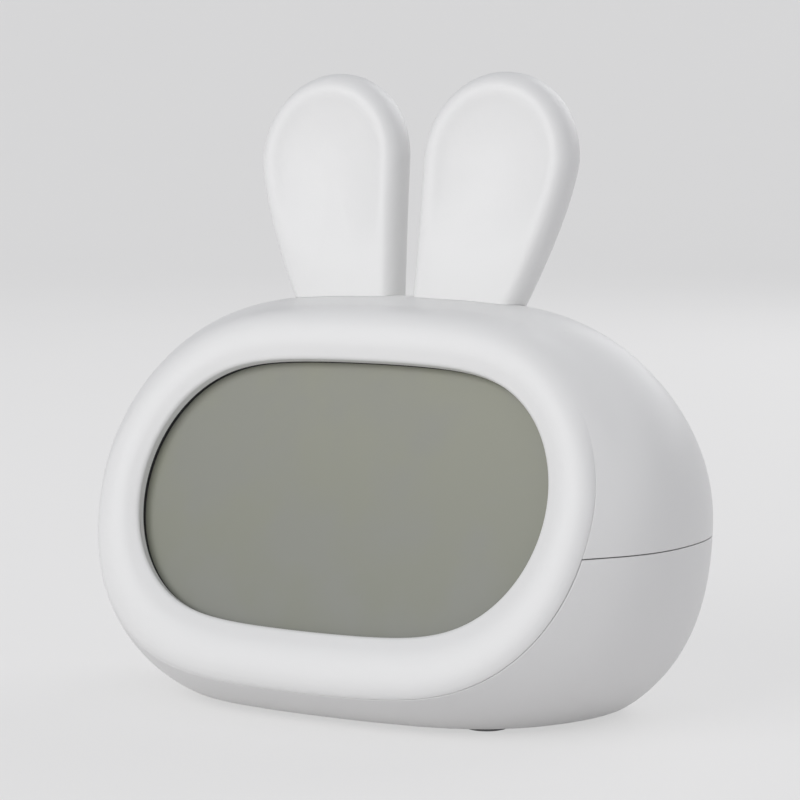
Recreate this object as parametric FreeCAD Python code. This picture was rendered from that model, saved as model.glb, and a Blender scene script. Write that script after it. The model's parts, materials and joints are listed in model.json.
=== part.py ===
# Kids alarm clock with night light: a rounded two-part shell with a fat rim round a
# backlit display, two tall hollow ears on top, and keys, sounder and cells at the back.
# Millimetres. X is to the right, +Y goes to the back, +Z up. The origin is on the table
# under the middle of the clock.
import FreeCAD, Part
import os
from math import sin, cos, tan, pi, sqrt, radians

# Face: the window's centre, its lean and its size
FACE_TILT = 21.4
FACE_HEIGHT = 55.0
FACE_SETBACK = -24.0
WINDOW_HALF_WIDTH = 57.0
WINDOW_HALF_HEIGHT = 34.0
WINDOW_SQUARE = 0.46
BEAD_SIDE_WIDTH = 12.1
BEAD_TOP_WIDTH = 12.6
BEAD_BOTTOM_WIDTH = 14.9
BEAD_HEIGHT = 2.8
LIP_SQUARE = 0.378
LIP_TOP_FILL = -0.12
LIP_BOTTOM_FILL = 0.09
FRONT_PLATE = 1.6

# Body shell
WALL = 2.2
BODY_HALF_WIDTH = 81.1
BODY_DEPTH = 67.5
BELLY_TOP = 51.7
BELLY_BOTTOM = 57.9
SEAM_HEIGHT = 45.0
FOOT_HEIGHT = 1.0
OUTLINE_POINTS = 32
BODY_LEVELS = 13

# Ears, measured from the window's centre
EAR_HALF_WIDTH = 20.7
EAR_WIDEST_UP = 80.3
EAR_DOME = 22.1
EAR_STEM = 48.1
EAR_BASE_UP = 45.6
EAR_OUT = 23.9
EAR_BASE_OUT = 17.5
EAR_BASE_HALF_WIDTH = 15.6
EAR_TAPER = 1.4
EAR_BACK = 35.8
EAR_LEAN = 6.4
EAR_HALF_THICKNESS = 6.7
EAR_SOLID_BASE = 8.0
EAR_SCREW_SPREAD = 9.0

# Fits between pieces
CLEARANCE = 0.1
SKIN_GAP = 0.05
KEY_CLEARANCE = 0.25
DOOR_CLEARANCE = 0.3

# Display stack, front to back, as thicknesses
GLASS_MARGIN = 4.0
GLASS_CORNER = 22.0
CONTACT_LEDGE = 3.0
GASKET = 1.2
GASKET_SETBACK = 0.15
POLARISER = 0.2
GLASS = 1.1
DIFFUSER = 0.3
LIGHT_GUIDE = 3.0
REFLECTOR = 0.3
FRAME_WALL = 1.2
FRAME_BACK = 1.6
FRAME_RIM = 4.0
FRAME_SCREW_OUT = 20.0
LED_SIZE = 2.0
LED_BOARD = 1.0
LED_PLACES = (-8.0, 0.0, 8.0)
LED_BOARD_HALF = 13.0
ZEBRA_WIDTH = 2.2

# Boards
BOARD = 1.6
BOARD_HALF_WIDTH = 44.0
BOARD_HALF_HEIGHT = 24.0
BOARD_GAP = 3.0
KEY_BOARD_HALF_WIDTH = 48.0
KEY_BOARD_HEIGHT = 24.0
KEY_BOARD_BELOW_KEYS = 5.5
BOARD_MARGIN = 8.0
BOARD_CUT = 24.0
CONNECTOR_PLACES = (-24.0, 0.0, 24.0)
TACT_HEIGHT = 3.5
TACT_STEM = 0.8

# Wires from the board's connectors
WIRE_RADIUS = 0.6
WIRE_PAIR = 1.5
KEY_WIRES = 4
CONNECTOR_UP = 10.5
CONNECTOR_DEPTH = 4.5

# Keys on the back
KEY_RADIUS = 4.0
KEY_PITCH = 15.0
KEY_FIRST = -37.0
KEY_ROW = 52.5
KEY_PROUD = 1.3
KEY_TRAVEL = 0.7
KEY_FLANGE = 1.1
FLANGE_OUT = 1.4
SNOOZE_FLANGE_OUT = 1.0
SNOOZE_HALF_WIDTH = 19.0
SNOOZE_HALF_HEIGHT = 4.0
SNOOZE_ROW = 63.2
SWITCH_X = 34.0
SWITCH_TRAVEL = 3.0
SWITCH_SIZE = 3.6

# Battery bay and its door
CELL_RADIUS = 5.25
CELL_LENGTH = 44.5
CELLS = 2
CELL_GAP = 0.4
BAY_LENGTH = 52.0
BAY_BELOW_SEAM = 5.2
BAY_WALL = 1.6
DOOR_MARGIN = 2.0
DOOR_TAB = 6.0

# Sounder
SPEAKER_X = 44.0
SPEAKER_BELOW_SEAM = 16.5
SPEAKER_RADIUS = 9.0
SPEAKER_DEPTH = 4.5
SPEAKER_SEAT = 1.2

# Case posts, screws and feet
POST_RADIUS = 4.0
CASE_HEAD_SEAT = 20.0
CASE_SCREW_BITE = 8.0
POST_INSET = 33.0
POST_FRONT = 4.0
POST_REAR = 26.0
SCREW_RADIUS = 1.5
SCREW_HEAD_RADIUS = 2.8
SCREW_HEAD = 1.8
SMALL_SCREW_RADIUS = 1.0
SMALL_HEAD_RADIUS = 1.9
SMALL_HEAD = 1.2
FOOT_RADIUS = 5.5
FOOT_RECESS = 0.8
FOOT_X = 36.0
FOOT_FRONT = -14.0
FOOT_REAR = 22.0

TILT = radians(FACE_TILT)
BACK = FACE_SETBACK + BODY_DEPTH
BACK_INSIDE = BACK - WALL
FAR = 400.0


def point(x, y, z):
    return FreeCAD.Vector(x, y, z)


def box(low, high):
    """A box from its lowest to its highest corner."""
    size = [b - a for a, b in zip(low, high)]
    return Part.makeBox(size[0], size[1], size[2], point(*low))


def along_y(x, z, radius, start, end):
    """A cylinder along +Y."""
    return Part.makeCylinder(radius, end - start, point(x, start, z), point(0, 1, 0))


def along_z(x, y, radius, start, end):
    """A cylinder along +Z."""
    return Part.makeCylinder(radius, end - start, point(x, y, start), point(0, 0, 1))


def join(shapes):
    return shapes[0].multiFuse(shapes[1:])


def fuse(shapes):
    """Joined, with faces that lie in one plane or surface made into one."""
    return join(shapes).removeSplitter()


def save(name, shape):
    shape.exportStep("parts/" + name + ".step")
    print(name, len(shape.Solids), "solids", round(shape.Volume), "mm3", shape.isValid())


# Outlines: a rounded shape that can be made squarer, wider or taller
def soften(value, edge):
    return value * sqrt(1 + edge * edge) / sqrt(value * value + edge * edge)


def outline(half_width, top, bottom, square, top_fill=0.0, bottom_fill=0.0):
    """Points of a closed outline: (across, up) from its centre."""
    points = []
    for step in range(OUTLINE_POINTS):
        angle = 2 * pi * step / OUTLINE_POINTS
        c = cos(angle)
        s = sin(angle)
        height = top if s > 0 else bottom
        fill = top_fill if s > 0 else bottom_fill
        across = half_width * ((1 - square) * c + square * soften(c, 0.25))
        up = height * ((1 - fill) * s + fill * soften(s, 0.5))
        points.append((across, up))
    return points


def closed_wire(points):
    """A smooth closed curve; even parameters keep neighbouring sections in step."""
    even = [float(step) for step in range(len(points) + 1)]
    curve = Part.BSplineCurve()
    curve.interpolate(Points=points, PeriodicFlag=True, Parameters=even)
    return Part.Wire([curve.toShape()])


def loft(wires):
    """A closed solid through the wires, cubic so that it doesn't swing between them."""
    return Part.makeLoft(wires, True, False, False, 3)


def natural_spline(knots, values):
    """A smooth curve through the values, as a function of the knot."""
    last = len(knots) - 1
    gap = [knots[i + 1] - knots[i] for i in range(last)]
    bend = [0.0] * (last + 1)
    upper = [0.0] * (last + 1)
    for i in range(1, last):
        slope_change = (values[i + 1] - values[i]) / gap[i] - (values[i] - values[i - 1]) / gap[i - 1]
        pivot = 2 * (gap[i - 1] + gap[i]) - gap[i - 1] * upper[i - 1]
        upper[i] = gap[i] / pivot
        bend[i] = (6 * slope_change - gap[i - 1] * bend[i - 1]) / pivot
    for i in range(last - 1, 0, -1):
        bend[i] -= upper[i] * bend[i + 1]

    def at(knot):
        i = 0
        while i < last - 1 and knot > knots[i + 1]:
            i += 1
        a = (knots[i + 1] - knot) / gap[i]
        b = 1 - a
        curved = (a ** 3 - a) * bend[i] + (b ** 3 - b) * bend[i + 1]
        return a * values[i] + b * values[i + 1] + curved * gap[i] ** 2 / 6
    return at


# Body: cross-sections from the face to the back, each leaning less than the one before
LIP_HALF_WIDTH = WINDOW_HALF_WIDTH + BEAD_SIDE_WIDTH
LIP_TOP = WINDOW_HALF_HEIGHT + BEAD_TOP_WIDTH
LIP_BOTTOM = WINDOW_HALF_HEIGHT + BEAD_BOTTOM_WIDTH
# Share of the depth, drop, lean, then how much less than the belly's half width, top and
# bottom, then squareness, top fill and bottom fill
SECTION_RULES = [(0.18, 2.0, 15.0, 3.4, 2.6, 2.6, 0.36, -0.05, 0.09),
                 (0.445, 5.0, 7.0, 0.0, 0.0, 0.0, 0.34, 0.03, 0.22),
                 (0.70, 7.0, 1.5, 2.7, 5.0, 2.0, 0.34, 0.03, 0.22),
                 (0.87, 7.0, 0.0, 10.8, 13.0, 8.5, 0.34, 0.03, 0.22),
                 (0.965, 7.0, 0.0, 19.3, 20.0, 15.5, 0.34, 0.03, 0.22),
                 (1.0, 7.0, 0.0, 28.3, 27.0, 23.0, 0.34, 0.03, 0.22)]
BODY_SECTIONS = [(0.0, 0.0, FACE_TILT, LIP_HALF_WIDTH, LIP_TOP, LIP_BOTTOM,
                  LIP_SQUARE, LIP_TOP_FILL, LIP_BOTTOM_FILL)]
for back, drop, lean, narrower, lower, higher, square, top_fill, bottom_fill in SECTION_RULES:
    BODY_SECTIONS.append((back * BODY_DEPTH, drop, lean, BODY_HALF_WIDTH - narrower, BELLY_TOP - lower,
                          BELLY_BOTTOM - higher, square, top_fill, bottom_fill))


def body_section(progress):
    """One cross-section's nine values, smoothly between the listed ones."""
    knots = [0.0]
    for before, after in zip(BODY_SECTIONS, BODY_SECTIONS[1:]):
        step = sqrt(sum((after[i] - before[i]) ** 2 for i in (0, 3, 4)))
        knots.append(knots[-1] + step)
    knot = progress * knots[-1]
    return [natural_spline(knots, [row[i] for row in BODY_SECTIONS])(knot) for i in range(9)]


def body_wire(progress, inset):
    back, down, lean, half_width, top, bottom, square, top_fill, bottom_fill = body_section(progress)
    lean = radians(lean)
    y = FACE_SETBACK + back * (1 - inset / BODY_DEPTH)
    z = FACE_HEIGHT - down
    shape = outline(half_width - inset, top - inset, bottom - inset, square, top_fill, bottom_fill)
    return closed_wire([point(u, y + v * sin(lean), z + v * cos(lean)) for u, v in shape])


def body_solid(inset):
    wires = [body_wire(level / (BODY_LEVELS - 1), inset) for level in range(BODY_LEVELS)]
    floor = FOOT_HEIGHT + inset
    return loft(wires).common(box((-FAR, -FAR, floor), (FAR, FAR, FAR)))


# Face frame: x across, y up along the face, z out of the face
def on_face(shape):
    turn = FreeCAD.Rotation(point(1, 0, 0), 90 - FACE_TILT)
    placed = shape.copy()
    placed.Placement = FreeCAD.Placement(point(0, FACE_SETBACK, FACE_HEIGHT), turn)
    return placed


def face_slab(low, high):
    """Everything between two depths of the face."""
    return on_face(box((-FAR, -FAR, low), (FAR, FAR, high)))


def rim_wire(grow, out):
    """The window's outline grown towards the lip: grow 0 is the window, 1 the lip."""
    half_width = WINDOW_HALF_WIDTH + grow * BEAD_SIDE_WIDTH
    top = WINDOW_HALF_HEIGHT + grow * BEAD_TOP_WIDTH
    bottom = WINDOW_HALF_HEIGHT + grow * BEAD_BOTTOM_WIDTH
    square = WINDOW_SQUARE + grow * (LIP_SQUARE - WINDOW_SQUARE)
    shape = outline(half_width, top, bottom, square, grow * LIP_TOP_FILL, grow * LIP_BOTTOM_FILL)
    return closed_wire([point(u, v, out) for u, v in shape])


def rim_loft(rows):
    return on_face(loft([rim_wire(grow, out * BEAD_HEIGHT) for grow, out in rows]))


# The bead's profile: share of its width, share of its height
BEAD_PROFILE = [(0.0, 0.12), (0.02, 0.27), (0.09, 0.47), (0.25, 0.79), (0.48, 1.0), (0.68, 0.96),
                (0.84, 0.74), (0.96, 0.30), (1.0, 0.0)]
HOLLOW_TOP = 0.36
HOLLOW_OUTSIDE = [(0.49, HOLLOW_TOP), (0.60, 0.30), (0.69, 0.10), (0.74, -0.25), (0.74, -0.85)]
HOLLOW_INSIDE = [(0.16, -0.86), (0.16, -0.40), (0.22, -0.08), (0.34, 0.20), (0.49, HOLLOW_TOP + 0.01)]


def window_prism(grow, low, high):
    face = Part.Face(rim_wire(grow, low))
    return on_face(face.extrude(point(0, 0, high - low)))


def below_seam():
    return box((-FAR, -FAR, -FAR), (FAR, FAR, SEAM_HEIGHT))


def above_seam():
    return box((-FAR, -FAR, SEAM_HEIGHT), (FAR, FAR, FAR))


# Depths behind the lip plane of each layer of the display
GASKET_BACK = -FRONT_PLATE - CLEARANCE - GASKET
GLASS_FRONT = GASKET_BACK - POLARISER
GLASS_MIDDLE = GLASS_FRONT - GLASS
GLASS_BACK = GLASS_MIDDLE - GLASS
DIFFUSER_FRONT = GLASS_BACK - POLARISER
GUIDE_FRONT = DIFFUSER_FRONT - DIFFUSER
GUIDE_BACK = GUIDE_FRONT - LIGHT_GUIDE
FRAME_INSIDE = GUIDE_BACK - REFLECTOR
FRAME_REAR = FRAME_INSIDE - FRAME_BACK
BOARD_FRONT = FRAME_REAR - BOARD_GAP
BOARD_REAR = BOARD_FRONT - BOARD
GLASS_HALF_WIDTH = WINDOW_HALF_WIDTH + GLASS_MARGIN
GUIDE_HALF_WIDTH = GLASS_HALF_WIDTH - LED_BOARD - LED_SIZE - 0.4
ZEBRA_HALF = GLASS_HALF_WIDTH - GLASS_CORNER - 3.0
GLASS_TOP = WINDOW_HALF_HEIGHT + CONTACT_LEDGE
GLASS_BOTTOM = WINDOW_HALF_HEIGHT + 1.5 + CONTACT_LEDGE
BOSS_RADIUS = 2.5
BOSS_REAR = FRAME_REAR + FRAME_BACK


def frame_screw_places():
    top = GLASS_TOP + FRAME_WALL + CLEARANCE + BOSS_RADIUS
    bottom = GLASS_BOTTOM + FRAME_WALL + CLEARANCE + BOSS_RADIUS
    return [(side * FRAME_SCREW_OUT, v) for side in (-1, 1) for v in (top, -bottom)]


def octagon(half_width, top, bottom, corner, low, high):
    """A plate with cut corners, in the face frame."""
    right = [(half_width - corner, -bottom), (half_width, corner - bottom),
             (half_width, top - corner), (half_width - corner, top)]
    left = [(-u, v) for u, v in reversed(right)]
    points = [point(u, v, low) for u, v in right + left]
    face = Part.Face(Part.makePolygon(points + points[:1]))
    return face.extrude(point(0, 0, high - low))


def case_post_places():
    out = BODY_HALF_WIDTH - POST_INSET
    return [(side * out, y) for side in (-1, 1) for y in (POST_FRONT, POST_REAR)]


def key_board_post_places():
    z = KEY_ROW + 0.5 * (SNOOZE_ROW - KEY_ROW)
    return [(side * (KEY_BOARD_HALF_WIDTH - 3.0), z) for side in (-1, 1)]


KEY_FLANGE_FRONT = BACK_INSIDE - CLEARANCE
KEY_FLANGE_REAR = KEY_FLANGE_FRONT - KEY_FLANGE
STEM_TOP = KEY_FLANGE_REAR - KEY_TRAVEL - CLEARANCE
KEY_BOARD_BACK = STEM_TOP - TACT_HEIGHT - TACT_STEM
KEY_BOARD_FRONT = KEY_BOARD_BACK - BOARD
SLIDE_TOP = STEM_TOP - 1.2
KEY_PLACES = [KEY_FIRST + KEY_PITCH * i for i in range(4)]


def stadium(x, z, half_width, half_height, start, end):
    """A long button shape: a slot outline extruded along +Y."""
    middle = box((x - half_width + half_height, start, z - half_height),
                 (x + half_width - half_height, end, z + half_height))
    out = half_width - half_height
    return fuse([middle] + [along_y(x + side * out, z, half_height, start, end) for side in (-1, 1)])


def keyhole_cuts():
    """Holes in the back wall for the keys and the alarm switch."""
    start = BACK_INSIDE - 1.0
    end = BACK + 1.0
    cuts = [along_y(x, KEY_ROW, KEY_RADIUS + KEY_CLEARANCE, start, end) for x in KEY_PLACES]
    cuts.append(stadium(0, SNOOZE_ROW, SNOOZE_HALF_WIDTH + KEY_CLEARANCE,
                        SNOOZE_HALF_HEIGHT + KEY_CLEARANCE, start, end))
    reach = (SWITCH_SIZE + SWITCH_TRAVEL) / 2 + KEY_CLEARANCE
    high = SWITCH_SIZE / 2 + KEY_CLEARANCE
    cuts.append(around_switch(reach, high, start, end))
    return cuts


# Ears
def ear_outline(share, side):
    """Points of the ear's outline, shrunk towards its middle by share."""
    points = []
    for step in range(OUTLINE_POINTS):
        angle = 2 * pi * step / OUTLINE_POINTS
        c = cos(angle)
        s = sin(angle)
        if s > 0:
            x = EAR_OUT + EAR_HALF_WIDTH * c
            z = EAR_WIDEST_UP + EAR_DOME * s
        else:
            drop = EAR_STEM * soften(-s, 0.8)
            taper = (drop / (EAR_WIDEST_UP - EAR_BASE_UP)) ** EAR_TAPER
            half = EAR_HALF_WIDTH - (EAR_HALF_WIDTH - EAR_BASE_HALF_WIDTH) * taper
            out = EAR_OUT - (EAR_OUT - EAR_BASE_OUT) * taper
            x = out + half * soften(c, 0.25 + 0.75 * (1 + s) ** 2)
            z = EAR_WIDEST_UP - drop
        x = EAR_OUT + (x - EAR_OUT) * share
        z = EAR_WIDEST_UP + (z - EAR_WIDEST_UP) * share
        points.append((side * x, z))
    return points


def scoop_share(z):
    """How much of the scoop there is at a height: none low on the stem, all at the widest place."""
    low = EAR_BASE_UP + 5.0
    rise = (z - low) / (EAR_WIDEST_UP - 4.0 - low)
    rise = min(1.0, max(0.0, rise))
    return rise * rise * (3 - 2 * rise)


def ear_wire(share, deep, flat, side):
    """One ring of the ear: deep is its depth in the scoop, flat its depth on the stem."""
    lean = tan(radians(EAR_LEAN))
    points = []
    for x, z in ear_outline(share, side):
        scoop = scoop_share(z) if share > CAP_SHARE else 1.0
        depth = (flat + (deep - flat) * scoop) * EAR_HALF_THICKNESS
        y = EAR_BACK + (z - EAR_BASE_UP) * lean + depth
        points.append(point(x, FACE_SETBACK + y, FACE_HEIGHT + z))
    return closed_wire(points)


# The ear's form from the scoop in front, over its rim, to its round back: share of the
# outline, then depth in the scoop and on the stem as shares of the half thickness
CAP_SHARE = 0.12
EAR_PROFILE = [(CAP_SHARE, -0.46, -0.46), (0.32, -0.52, -0.94), (0.52, -0.64, -0.94), (0.68, -0.78, -0.93),
               (0.81, -0.89, -0.89), (0.885, -0.84, -0.84), (0.945, -0.66, -0.66), (0.985, -0.40, -0.40),
               (1.0, -0.05, -0.05), (0.975, 0.42, 0.42), (0.90, 0.70, 0.70), (0.75, 0.88, 0.88),
               (0.50, 0.97, 0.97), (CAP_SHARE, 1.0, 1.0)]
# The hollow inside an ear, about one wall in from the ear's skin: share and depth
HOLLOW_PROFILE = [(0.30, -0.10), (0.55, -0.22), (0.74, -0.46), (0.84, -0.42), (0.895, -0.05),
                  (0.84, 0.40), (0.70, 0.60), (0.45, 0.68), (0.30, 0.69)]


def ear_solid(side):
    return loft([ear_wire(share, deep, flat, side) for share, deep, flat in EAR_PROFILE])


def ear_hollow(side):
    rows = [ear_wire(share, depth, depth, side) for share, depth in HOLLOW_PROFILE]
    floor = FACE_HEIGHT + EAR_BASE_UP + EAR_SOLID_BASE
    return loft(rows).common(box((-FAR, -FAR, floor), (FAR, FAR, FAR)))


def ear_screw_places(side):
    y = FACE_SETBACK + EAR_BACK
    return [(side * (EAR_BASE_OUT + step * EAR_SCREW_SPREAD), y) for step in (-1, 1)]


def pan_screw(radius, length, head_radius, head, place, direction):
    """A pan-head screw; place is under its head, direction is where its tip points."""
    shank = Part.makeCylinder(radius, length, place, direction)
    cap = Part.makeCylinder(head_radius, head, place, direction * -1)
    slot_size = head_radius * 0.9
    slot = Part.makeBox(slot_size, slot_size * 0.25, head)
    slot.translate(point(-slot_size / 2, -slot_size / 8, 0))
    cross = slot.fuse(slot.rotated(point(0, 0, 0), point(0, 0, 1), 90))
    turn = FreeCAD.Rotation(point(0, 0, 1), direction * -1)
    cross.Placement = FreeCAD.Placement(place - direction * (head * 0.45), turn)
    return shank.fuse(cap).cut(cross)


def face_point(u, v, w):
    y = FACE_SETBACK + v * sin(TILT) - w * cos(TILT)
    return point(u, y, FACE_HEIGHT + v * cos(TILT) + w * sin(TILT))


FACE_OUT = point(0, -cos(TILT), sin(TILT))
BEAD_INSIDE = HOLLOW_TOP * BEAD_HEIGHT + 0.8


def skin_height(x, y, skin):
    """Height of the shell's inner skin over a place."""
    probe = Part.makeLine(point(x, y, SEAM_HEIGHT + 10), point(x, y, SEAM_HEIGHT + 100))
    return max(vertex.Z for vertex in skin.common(probe).Vertexes)


def make_upper_shell(outer, inner):
    shell = outer.cut(inner.cut(face_slab(-FRONT_PLATE, FAR))).common(above_seam())
    tongue = body_solid(WALL + CLEARANCE).common(face_slab(-FRONT_PLATE, 0)).common(below_seam())
    bead = rim_loft(BEAD_PROFILE)
    bosses = []
    pilots = []
    for u, v in frame_screw_places():
        height = BEAD_INSIDE - BOSS_REAR
        bosses.append(on_face(Part.makeCylinder(BOSS_RADIUS, height, point(u, v, BOSS_REAR))))
        pilots.append(on_face(Part.makeCylinder(SMALL_SCREW_RADIUS, 6.0, point(u, v, BOSS_REAR))))
    hollow = rim_loft(HOLLOW_OUTSIDE).cut(rim_loft(HOLLOW_INSIDE))
    shell = join([shell, tongue, bead]).cut(hollow)
    shell = shell.cut(window_prism(0, -FRONT_PLATE - 1, FAR))
    posts = []
    for x, y in case_post_places():
        posts.append(along_z(x, y, POST_RADIUS, SEAM_HEIGHT, FAR).common(outer))
        pilots.append(along_z(x, y, SCREW_RADIUS, SEAM_HEIGHT - 1, SEAM_HEIGHT + 12))
    for x, z in key_board_post_places():
        posts.append(along_y(x, z, 3.0, KEY_BOARD_BACK, BACK_INSIDE + 0.5 * WALL))
        pilots.append(along_y(x, z, SMALL_SCREW_RADIUS, KEY_BOARD_BACK - 1, KEY_BOARD_BACK + 4))
    for side in (-1, 1):
        for x, y in ear_screw_places(side):
            under = skin_height(x, y, inner)
            pilots.append(along_z(x, y, SCREW_RADIUS + CLEARANCE, SEAM_HEIGHT + 20, FAR))
            pilots.append(along_z(x, y, SCREW_HEAD_RADIUS + CLEARANCE, SEAM_HEIGHT + 20, under))
    return join([shell] + bosses + posts).cut(pilots).cut(keyhole_cuts())


# Battery bay
BAY_HEIGHT = CELLS * (2 * CELL_RADIUS + CELL_GAP)
BAY_TOP = SEAM_HEIGHT - BAY_BELOW_SEAM
BAY_BOTTOM = BAY_TOP - BAY_HEIGHT
BAY_HALF = BAY_LENGTH / 2
BAY_FRONT = BACK_INSIDE - 2 * CELL_RADIUS - CELL_GAP
DOOR_HALF = BAY_HALF + DOOR_MARGIN
DOOR_BOTTOM = BAY_BOTTOM - DOOR_MARGIN
DOOR_TOP = BAY_TOP + DOOR_MARGIN
TAB_PLACES = (-0.5 * DOOR_HALF, 0.5 * DOOR_HALF)
TAB_DROP = 1.5


def cell_axis(index):
    """Where a cell lies in its bay, as (y, z)."""
    return BAY_FRONT + CELL_RADIUS + CELL_GAP / 2, BAY_BOTTOM + (index + 0.5) * (2 * CELL_RADIUS + CELL_GAP)


def bay_additions():
    walls = box((-BAY_HALF - BAY_WALL, BAY_FRONT - BAY_WALL, BAY_BOTTOM - BAY_WALL),
                (BAY_HALF + BAY_WALL, BACK_INSIDE, BAY_TOP + BAY_WALL))
    seat_out = DOOR_MARGIN + 1.2
    seat = box((-BAY_HALF - seat_out, BACK_INSIDE - BAY_WALL, BAY_BOTTOM - seat_out),
               (BAY_HALF + seat_out, BACK_INSIDE, BAY_TOP + seat_out))
    return fuse([walls, seat])


def bay_cuts():
    inside = box((-BAY_HALF, BAY_FRONT, BAY_BOTTOM), (BAY_HALF, FAR, BAY_TOP))
    gap = DOOR_CLEARANCE
    doorway = box((-DOOR_HALF - gap, BACK_INSIDE, DOOR_BOTTOM - gap),
                  (DOOR_HALF + gap, FAR, DOOR_TOP + gap))
    finger = Part.makeSphere(9.0, point(0, BACK + 6.6, DOOR_TOP))
    cuts = [inside, doorway, finger]
    for x in TAB_PLACES:
        half = DOOR_TAB / 2 + DOOR_CLEARANCE
        cuts.append(box((x - half, BACK_INSIDE - 2.4, DOOR_BOTTOM - TAB_DROP - 2 * gap),
                        (x + half, BACK_INSIDE, BAY_BOTTOM + 0.1)))
    for index in range(CELLS):
        outside = point(-BAY_HALF - 2 * BAY_WALL, *cell_axis(index))
        cuts.append(Part.makeCylinder(WIRE_RADIUS + 0.4, 2.5 * BAY_WALL, outside, point(1, 0, 0)))
    return cuts


SPEAKER_Z = SEAM_HEIGHT - SPEAKER_BELOW_SEAM


def speaker_collar():
    outer = along_y(SPEAKER_X, SPEAKER_Z, SPEAKER_RADIUS + 1.8, BACK_INSIDE - 4.0, BACK_INSIDE + 0.5)
    bore = along_y(SPEAKER_X, SPEAKER_Z, SPEAKER_RADIUS + CLEARANCE, BACK_INSIDE - 5.0,
                   BACK_INSIDE - SPEAKER_SEAT)
    throat = along_y(SPEAKER_X, SPEAKER_Z, SPEAKER_RADIUS - 1.5, BACK_INSIDE - 5.0, BACK_INSIDE)
    return outer, bore.fuse(throat)


def sound_holes():
    places = [(0.0, 0.0)]
    for ring, count in ((3.2, 6), (6.2, 12)):
        for step in range(count):
            angle = 2 * pi * step / count
            places.append((ring * cos(angle), ring * sin(angle)))
    holes = []
    for across, up in places:
        holes.append(along_y(SPEAKER_X + across, SPEAKER_Z + up, 0.8, BACK_INSIDE - 0.5, FAR))
    return holes


def feet(low, high, radius):
    places = [(side * FOOT_X, y) for side in (-1, 1) for y in (FOOT_FRONT, FOOT_REAR)]
    return [along_z(x, y, radius, low, high) for x, y in places]


def make_lower_shell(outer, inner):
    shell = outer.cut(inner).common(below_seam())
    posts = []
    cuts = []
    for x, y in case_post_places():
        posts.append(along_z(x, y, POST_RADIUS + 0.6, 0, SEAM_HEIGHT).common(outer))
        cuts.append(along_z(x, y, SCREW_RADIUS + 0.2, 0, SEAM_HEIGHT + 1))
        cuts.append(along_z(x, y, SCREW_HEAD_RADIUS + 0.3, -FAR, CASE_HEAD_SEAT))
    collar, bore = speaker_collar()
    for pad in feet(FOOT_HEIGHT, FOOT_HEIGHT + FOOT_RECESS + WALL, FOOT_RADIUS + 1.5):
        posts.append(pad)
    shell = join([shell, bay_additions().common(outer), collar.common(outer)] + posts)
    cuts += bay_cuts() + [bore] + sound_holes()
    cuts += feet(0, FOOT_HEIGHT + FOOT_RECESS, FOOT_RADIUS + CLEARANCE)
    return shell.cut(cuts)


def make_ears():
    """The right ear stands on the body's skin; the left one is its mirror image."""
    ear = ear_solid(1).cut(ear_hollow(1)).cut(body_solid(-SKIN_GAP))
    ear = max(ear.Solids, key=lambda solid: solid.Volume)
    for x, y in ear_screw_places(1):
        ear = ear.cut(along_z(x, y, SCREW_RADIUS, 0, FACE_HEIGHT + EAR_BASE_UP + EAR_SOLID_BASE - 1.5))
    save("right_ear", ear)
    save("left_ear", ear.mirror(point(0, 0, 0), point(1, 0, 0)))


def make_ear_screws(inner):
    screws = []
    for side in (-1, 1):
        for x, y in ear_screw_places(side):
            under = skin_height(x, y, inner)
            screws.append(pan_screw(SCREW_RADIUS, WALL + EAR_SOLID_BASE - 4.0, SCREW_HEAD_RADIUS, SCREW_HEAD,
                                    point(x, y, under), point(0, 0, 1)))
    return Part.makeCompound(screws)


def make_display():
    """The layers of the display, each a thin plate behind the window."""
    glass = [GLASS_HALF_WIDTH, GLASS_TOP, GLASS_BOTTOM, GLASS_CORNER]
    shorter = [GLASS_HALF_WIDTH, GLASS_TOP, GLASS_BOTTOM - CONTACT_LEDGE, GLASS_CORNER]
    film = [GLASS_HALF_WIDTH - 1, GLASS_TOP - 1, GLASS_BOTTOM - CONTACT_LEDGE - 0.5, GLASS_CORNER]
    guide = [GUIDE_HALF_WIDTH, GLASS_TOP - 1, GLASS_BOTTOM - CONTACT_LEDGE - 0.5, GLASS_CORNER]
    layers = [("front_polariser", film, GLASS_FRONT, GLASS_FRONT + POLARISER),
              ("lcd_front_glass", glass, GLASS_MIDDLE, GLASS_FRONT),
              ("lcd_rear_glass", shorter, GLASS_BACK, GLASS_MIDDLE),
              ("rear_polariser", film, DIFFUSER_FRONT, GLASS_BACK),
              ("diffuser_film", guide, GUIDE_FRONT, DIFFUSER_FRONT),
              ("light_guide", guide, GUIDE_BACK, GUIDE_FRONT),
              ("reflector_film", guide, FRAME_INSIDE, GUIDE_BACK)]
    for name, plate, low, high in layers:
        save(name, on_face(octagon(*plate, low, high)))
    gasket = on_face(octagon(*film, GASKET_BACK, -FRONT_PLATE - CLEARANCE))
    save("display_gasket", gasket.cut(window_prism(GASKET_SETBACK / BEAD_SIDE_WIDTH, -FAR, FAR)))


def make_backlight():
    lamps = []
    strips = []
    for side in (-1, 1):
        inner_end = side * (GUIDE_HALF_WIDTH + 0.1)
        outer_end = inner_end + side * LED_SIZE
        board_end = outer_end + side * LED_BOARD
        low = min(inner_end, outer_end)
        for v in LED_PLACES:
            lamp = box((low, v - 1.6, GUIDE_BACK + 0.3), (low + LED_SIZE, v + 1.6, GUIDE_FRONT - 0.3))
            lamps.append(on_face(lamp))
        low = min(outer_end, board_end)
        strips.append(on_face(box((low, -LED_BOARD_HALF, GUIDE_BACK),
                                  (low + LED_BOARD, LED_BOARD_HALF, GUIDE_FRONT))))
    save("backlight_leds", Part.makeCompound(lamps))
    save("backlight_boards", Part.makeCompound(strips))


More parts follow.
